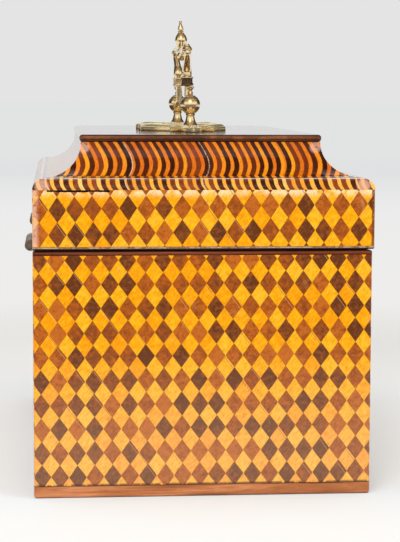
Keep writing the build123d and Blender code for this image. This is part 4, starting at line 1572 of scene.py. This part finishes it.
    def plate(self) -> Piece:
        """The pierced back plate: its flat casting with raised scrolls, softened as old castings are.

        Returns:
            The plate.
        """
        casting = copy_mesh(bpy.data.objects["handle_plate"], "casting")
        relief = [self.ring(0.0, 0.0, (6.6, 8.6), 0.9)]
        for end in (-1, 1):
            relief += self.leaf(end)
            for reach in (self.front_reach, self.back_reach):
                relief += self.quarter(end, reach)
        for out in (-1, 1):
            relief.append(self.bead(0.0, out * 13.0, (2.0, 2.4, 1.1)))
        plate = join("cast_back_plate", [casting, *relief])
        bpy.ops.object.mode_set(mode="EDIT")
        bpy.ops.mesh.select_all(action="SELECT")
        bpy.ops.mesh.remove_doubles(threshold=self.welded * MM)
        bpy.ops.object.mode_set(mode="OBJECT")
        fuse = plate.modifiers.new("fuse", "REMESH")
        fuse.mode = "VOXEL"
        fuse.voxel_size = self.voxel * MM
        bpy.ops.object.modifier_apply(modifier=fuse.name)
        soften = plate.modifiers.new("soften", "SMOOTH")
        soften.factor = 0.5
        soften.iterations = 3
        bpy.ops.object.modifier_apply(modifier=soften.name)
        foot = self.plate_foot * MM
        low = [vertex.co.z < foot + self.foot_slice * MM for vertex in plate.data.vertices]
        plate.data.vertices.foreach_set("select", low)
        plate.data.edges.foreach_set("select", [False] * len(plate.data.edges))
        plate.data.polygons.foreach_set("select", [False] * len(plate.data.polygons))
        bpy.ops.object.mode_set(mode="EDIT")
        bpy.ops.mesh.select_mode(type="VERT")
        bpy.ops.transform.resize(value=(1, 1, 0), center_override=(0, 0, foot))
        bpy.ops.object.mode_set(mode="OBJECT")
        bpy.ops.object.shade_smooth()
        return plate

    def post(self, name: str, hand: int) -> Piece:
        """A turned post: threaded stud, trumpet foot, ball with a turned line, and spool top.

        Args:
            name: "left" or "right".
            hand: -1 for the left one, 1 for the right one.

        Returns:
            The post.
        """
        thread: list[tuple[float, float]] = [(1.0, -self.stud_length), (1.3, 0.3 - self.stud_length)]
        level = 0.6 - self.stud_length
        while level < self.thread_top:
            thread += [(1.5, level), (1.34, level + self.thread_pitch / 2)]
            level += self.thread_pitch
        middle = self.ball_level
        profile = (
            *thread, (1.5, level), (1.5, 0.0), (4.1, 0.0), (4.2, 0.12), (4.2, 0.45), (4.05, 0.7),
            (3.55, 0.85), (3.3, 1.1), (2.9, 1.6), (2.5, 2.2), (2.22, 3.0), (2.0, 3.9), (1.85, 4.8),
            (1.85, 5.3), (2.15, 5.45), (2.2, 5.65), (2.1, 5.85), (1.9, 5.95),
            *ball_profile(self.ball_radius, middle, middle - 3.98, middle + 2.3, 16),
            (3.6, middle + 2.42),
            *ball_profile(self.ball_radius, middle, middle + 2.55, middle + 3.85, 6),
            (2.1, middle + 4.05), (1.4, middle + 4.2), (1.05, middle + 4.4), (1.2, middle + 4.7),
            (1.28, middle + 5.0), (1.15, middle + 5.4), (0.9, middle + 5.8), (0.85, middle + 6.3),
            (1.05, middle + 6.8), (1.5, middle + 7.2), (1.82, middle + 7.5), (1.85, middle + 7.75),
            (1.6, middle + 8.1), (1.0, middle + 8.33), (0.1, middle + 8.4),
        )
        place = Matrix.Translation((hand * self.post_x * MM, self.middle_y * MM, self.plate_top * MM))
        post = Turning(profile, segments=48).cut(f"turned_post_{name}", place)
        deselect()
        bpy.ops.mesh.primitive_cylinder_add(
            vertices=32,
            radius=self.pivot_hole * MM,
            depth=2 * self.ball_radius * MM,
            rotation=(0, math.pi / 2, 0),
            location=(hand * (self.post_x - self.ball_radius) * MM, self.middle_y * MM, self.pivot_z * MM),
        )
        carve(post, bpy.context.object)
        return post

    def bail(self) -> Piece:
        """The swan-neck bail with its collars, knops and vase finial.

        Returns:
            The bail.
        """
        route = (
            (36.4, 0.0), (31.0, 0.0), (28.0, 0.2), (27.8, 4.0), (27.55, 9.0), (27.2, 13.0),
            (27.0, 16.0), (31.5, 18.9), (35.9, 21.7), (35.9, 24.6), (33.5, 26.7), (24.0, 25.9),
            (17.0, 25.2), (12.0, self.bail_rise), (6.0, self.bail_rise), (0.0, self.bail_rise),
        )
        radii = (1.5, 1.6, 1.7, 1.5, 1.5, 2.3, 2.2, 1.6, 1.5, 1.7, 1.6, 1.35, 1.8, 1.9, 1.3, 1.7)
        collar = Turning((
            (1.3, -2.15), (2.4, -2.1), (2.85, -1.85), (2.9, -1.5), (2.8, -1.2), (2.55, -1.05),
            (2.5, 0.0), (2.55, 1.05), (2.8, 1.2), (2.9, 1.5), (2.85, 1.8), (2.3, 2.05), (2.05, 2.4),
            (1.3, 2.5),
        ))
        knop = Turning((
            (0.1, -2.3), *ball_profile(2.15, 0.0, -2.05, -0.45, 7), (2.3, -0.25), (2.3, 0.25),
            *ball_profile(2.15, 0.0, 0.45, 2.05, 7), (0.1, 2.25),
        ), segments=28)
        pivot = Turning((
            (1.3, 33.3), (2.0, 33.5), (2.3, 33.8), (2.3, 34.3), (2.05, 34.55), (2.0, 35.0),
            (2.05, 35.5), (2.3, 35.8), (2.3, 36.25), (2.1, 36.5), (1.2, 36.5), (1.2, 39.9),
            (0.9, 40.15),
        ), segments=32)
        pieces: list[Piece] = []
        for hand in (-1, 1):
            line = tuple((hand * across, 0.0, level) for across, level in route)
            on_neck = Matrix.Translation((hand * self.collar_x * MM, 0, self.collar_rise * MM))
            at_top = Matrix.Translation((hand * self.knop_x * MM, 0, self.bail_rise * MM))
            pieces.append(Rod(line, radii, sides=6).forge("swan_neck"))
            pieces.append(collar.cut("collar", on_neck))
            pieces.append(knop.cut("knop", at_top))
            pieces.append(pivot.cut("pivot", Matrix.Rotation(hand * math.pi / 2, 4, "Y")))
        finial = Turning((
            (0.2, -4.4), (1.0, -4.2), (1.75, -3.5), (2.15, -2.6), (2.15, -1.8), (1.8, -0.9),
            (1.6, -0.3), (2.1, 0.1), (2.2, 0.5), (2.0, 0.9), (1.45, 1.15), (1.5, 1.5), (2.05, 2.4),
            (2.55, 3.5), (2.8, 4.6), (2.85, 5.4), (2.7, 6.3), (2.35, 7.2), (1.85, 8.0), (1.4, 8.5),
            (1.2, 8.7), (1.5, 8.85), (1.55, 9.1), (1.35, 9.3), (1.2, 9.45), (1.32, 9.9),
            (1.28, 10.6), (1.1, 11.4), (0.82, 12.2), (0.55, 12.8), (0.45, 13.0), (0.68, 13.25),
            (0.75, 13.65), (0.62, 14.05), (0.36, 14.3), (0.06, 14.39),
        ))
        pieces.append(finial.cut("finial", Matrix.Translation((0, 0, self.bail_rise * MM))))
        bail = join("swan_neck_bail", pieces)
        place = Matrix.Translation((0, self.middle_y * MM, self.pivot_z * MM))
        return settle(bail, place @ Matrix.Rotation(math.radians(-self.lean), 4, "X"))


@dataclass
class Studio:
    """A pale sweep, soft lamps and the camera.

    Attributes:
        eye: Where the camera stands, in metres.
        yaw: How far it looks towards the front from straight along the length, in radians.
        pitch: How far it looks down, in radians.
        roll: How far the picture is turned, in radians.
        lens_mm: The focal length on the long side of a 36 mm frame.
        lamp_aim: The height on the caddy at which the lamps are aimed, in metres.
        floor_half: Half the side of the floor, in metres.
        shade_reach: How far off the floor reaches its last shade, in metres.
        shadow_reach: How far off the caddy's shadow has faded out, in metres.
        floor_tints: The floor's shades with distance.
        fill: The light that comes from all round.
        backdrop: The colour behind the caddy.
        gloom: What polished surfaces see of the floor near the camera and past it.
        gloom_span: The places along X between which the floor fades into that gloom, in metres.
        low_room: What they see of the room's sides.
        high_room: What they see overhead.
        wall: What they see of the wall behind the camera.
        window: What they see of the bright band along its foot.
    """

    eye: tuple[float, float, float] = (-0.82471, 0.060565, 0.16688)
    yaw: float = 0.0835
    pitch: float = 0.1025
    roll: float = 0.0029
    lens_mm: float = 115.08
    lamp_aim: float = 0.08
    floor_half: float = 30.0
    shade_reach: float = 4.0
    shadow_reach: float = 0.6
    floor_tints: tuple[Stop, ...] = (
        (0.0, srgb(240, 248, 250)),
        (0.035, srgb(240, 245, 246)),
        (0.06, srgb(240, 239, 236)),
        (0.09, srgb(233, 232, 228)),
        (0.142, srgb(238, 237, 235)),
        (0.4, srgb(236, 236, 236)),
        (0.7, srgb(224, 225, 226)),
        (1.0, srgb(226, 227, 227)),
    )
    fill: float = 0.45
    backdrop: Colour = srgb(228, 228, 228)
    gloom: Colour = srgb(40, 38, 36)
    gloom_span: tuple[float, float] = (-0.35, -0.6)
    low_room: Colour = srgb(34, 22, 12)
    high_room: Colour = srgb(96, 84, 72)
    wall: Colour = srgb(168, 142, 108)
    window: Colour = srgb(250, 242, 228)

    def build(self) -> None:
        """Set the floor, the lamps, the world and the camera."""
        self.floor()
        self.world()
        self.lamps()
        self.camera()
        log.info("studio set")

    def floor(self) -> None:
        """A plain pale floor that takes the shadow near the caddy and shades off with distance."""
        deselect()
        bpy.ops.mesh.primitive_plane_add(size=2 * self.floor_half, location=(0, 0, 0))
        floor = bpy.context.object
        floor.name = "studio_floor"
        g = Graph.of_material("pale_floor")
        across, along, _ = g.parts(g.place())
        distance = g.distance(across, along)
        tint = g.ramp(distance / self.shade_reach, self.floor_tints)
        glossy = g.node("ShaderNodeLightPath").outputs["Is Glossy Ray"]
        in_room = g.smooth(across, *self.gloom_span) * glossy
        lit = g.node("ShaderNodeBsdfDiffuse", {"Color": tint}).outputs[0]
        glow = g.node("ShaderNodeEmission", {"Color": g.mix(in_room, tint, self.gloom)}).outputs[0]
        far = g.smooth(distance, self.shadow_reach * 0.5, self.shadow_reach)
        share = g.larger(far * 0.8 + 0.2, in_room)
        blend = g.node("ShaderNodeMixShader", {0: share, 1: lit, 2: glow})
        g.node("ShaderNodeOutputMaterial", {"Surface": blend.outputs[0]})
        floor.data.materials.append(g.owner)
        floor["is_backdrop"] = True

    def world(self) -> None:
        """Soft light from all round, with a pale backdrop for the camera.

        Polished surfaces see the backdrop behind the caddy, a wall behind the camera that is bright
        along its foot, and a dim room at the sides and overhead.
        """
        world = bpy.data.worlds.new("studio_world")
        bpy.context.scene.world = world
        g = Graph(world)
        rays = g.node("ShaderNodeLightPath").outputs
        away, aside, upward = g.parts(g.node("ShaderNodeTexCoord").outputs["Generated"])
        room = g.mix(g.smooth(upward, 0.5, 0.98), self.low_room, self.high_room)
        front = g.smooth(away, 0.05, -0.3)
        low = g.smooth(upward, -0.02, 0.06) * g.smooth(upward, 0.6, 0.35)
        room = g.mix(front * g.smooth(upward, 0.0, 0.1), room, self.wall)
        room = g.mix(front * low, room, self.window)
        behind = g.smooth(abs(aside), 0.36, 0.22) * g.smooth(away, 0.2, 0.5)
        room = g.mix(behind, room, self.backdrop)
        mirrored = g.larger(rays["Is Glossy Ray"], rays["Is Transmission Ray"])
        soft = g.mix(mirrored, (self.fill, self.fill, self.fill, 1.0), room)
        shown = g.mix(rays["Is Camera Ray"], soft, self.backdrop)
        light = g.node("ShaderNodeBackground", {"Color": shown, "Strength": 1.0})
        g.node("ShaderNodeOutputWorld", {"Surface": light.outputs[0]})

    def lamp(self, name: str, place: Sequence[float], size: float, power: float, mirrored: bool) -> None:
        """A square soft lamp that faces the caddy.

        Args:
            name: The lamp's name.
            place: Where it hangs, in metres.
            size: The side of its square, in metres.
            power: Its power in watts.
            mirrored: Whether polished surfaces mirror it.
        """
        data = bpy.data.lights.new(name, "AREA")
        data.shape = "SQUARE"
        data.size = size
        data.energy = power
        lamp = bpy.data.objects.new(name, data)
        bpy.context.scene.collection.objects.link(lamp)
        lamp.location = place
        lamp.visible_glossy = mirrored
        aim = Vector((0, 0, self.lamp_aim)) - Vector(place)
        lamp.rotation_euler = aim.to_track_quat("-Z", "Y").to_euler()

    def lamps(self) -> None:
        """A wide lamp overhead and three soft ones in front, of which polish mirrors only the high one."""
        self.lamp("overhead_softbox", (-0.1, 0.2, 1.5), 1.4, 10.0, mirrored=False)
        self.lamp("near_softbox", (-1.7, 0.7, 1.0), 0.9, 14.0, mirrored=False)
        self.lamp("front_softbox", (-1.2, -1.6, 0.9), 0.9, 12.0, mirrored=False)
        self.lamp("high_softbox", (-1.3, 0.15, 1.15), 0.8, 3.2, mirrored=True)

    def camera(self) -> None:
        """The camera at the photograph's viewing angle."""
        data = bpy.data.cameras.new("photo_camera")
        data.sensor_width = 36.0
        data.lens = self.lens_mm
        data.clip_end = 50.0
        camera = bpy.data.objects.new("photo_camera", data)
        bpy.context.scene.collection.objects.link(camera)
        forward = Vector((
            math.cos(self.yaw) * math.cos(self.pitch),
            -math.sin(self.yaw) * math.cos(self.pitch),
            -math.sin(self.pitch),
        ))
        level = forward.cross(Vector((0, 0, 1))).normalized()
        upward = level.cross(forward)
        right = level * math.cos(self.roll) + upward * math.sin(self.roll)
        top = upward * math.cos(self.roll) - level * math.sin(self.roll)
        turn = Matrix((right, top, -forward)).transposed()
        camera.matrix_world = Matrix.Translation(self.eye) @ turn.to_4x4()
        bpy.context.scene.camera = camera


def corners(bounds: Sequence[Vector]) -> list[list[float]]:
    """A box's corners as plain lists of numbers."""
    return [[float(value) for value in corner] for corner in bounds]


def main() -> None:
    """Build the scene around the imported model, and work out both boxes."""
    logging.basicConfig(level=logging.INFO, format="%(message)s")
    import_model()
    cad_box = corners(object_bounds())
    bpy.context.scene.view_settings.view_transform = "Standard"
    for assembly in (Body(), TeaLids(), Lid(), Fittings(), Handle()):
        assembly.dress()
    Studio().build()
    visual_box = corners(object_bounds())
    {"cad": cad_box, "visual": visual_box}


if __name__ == "__main__":
    main()
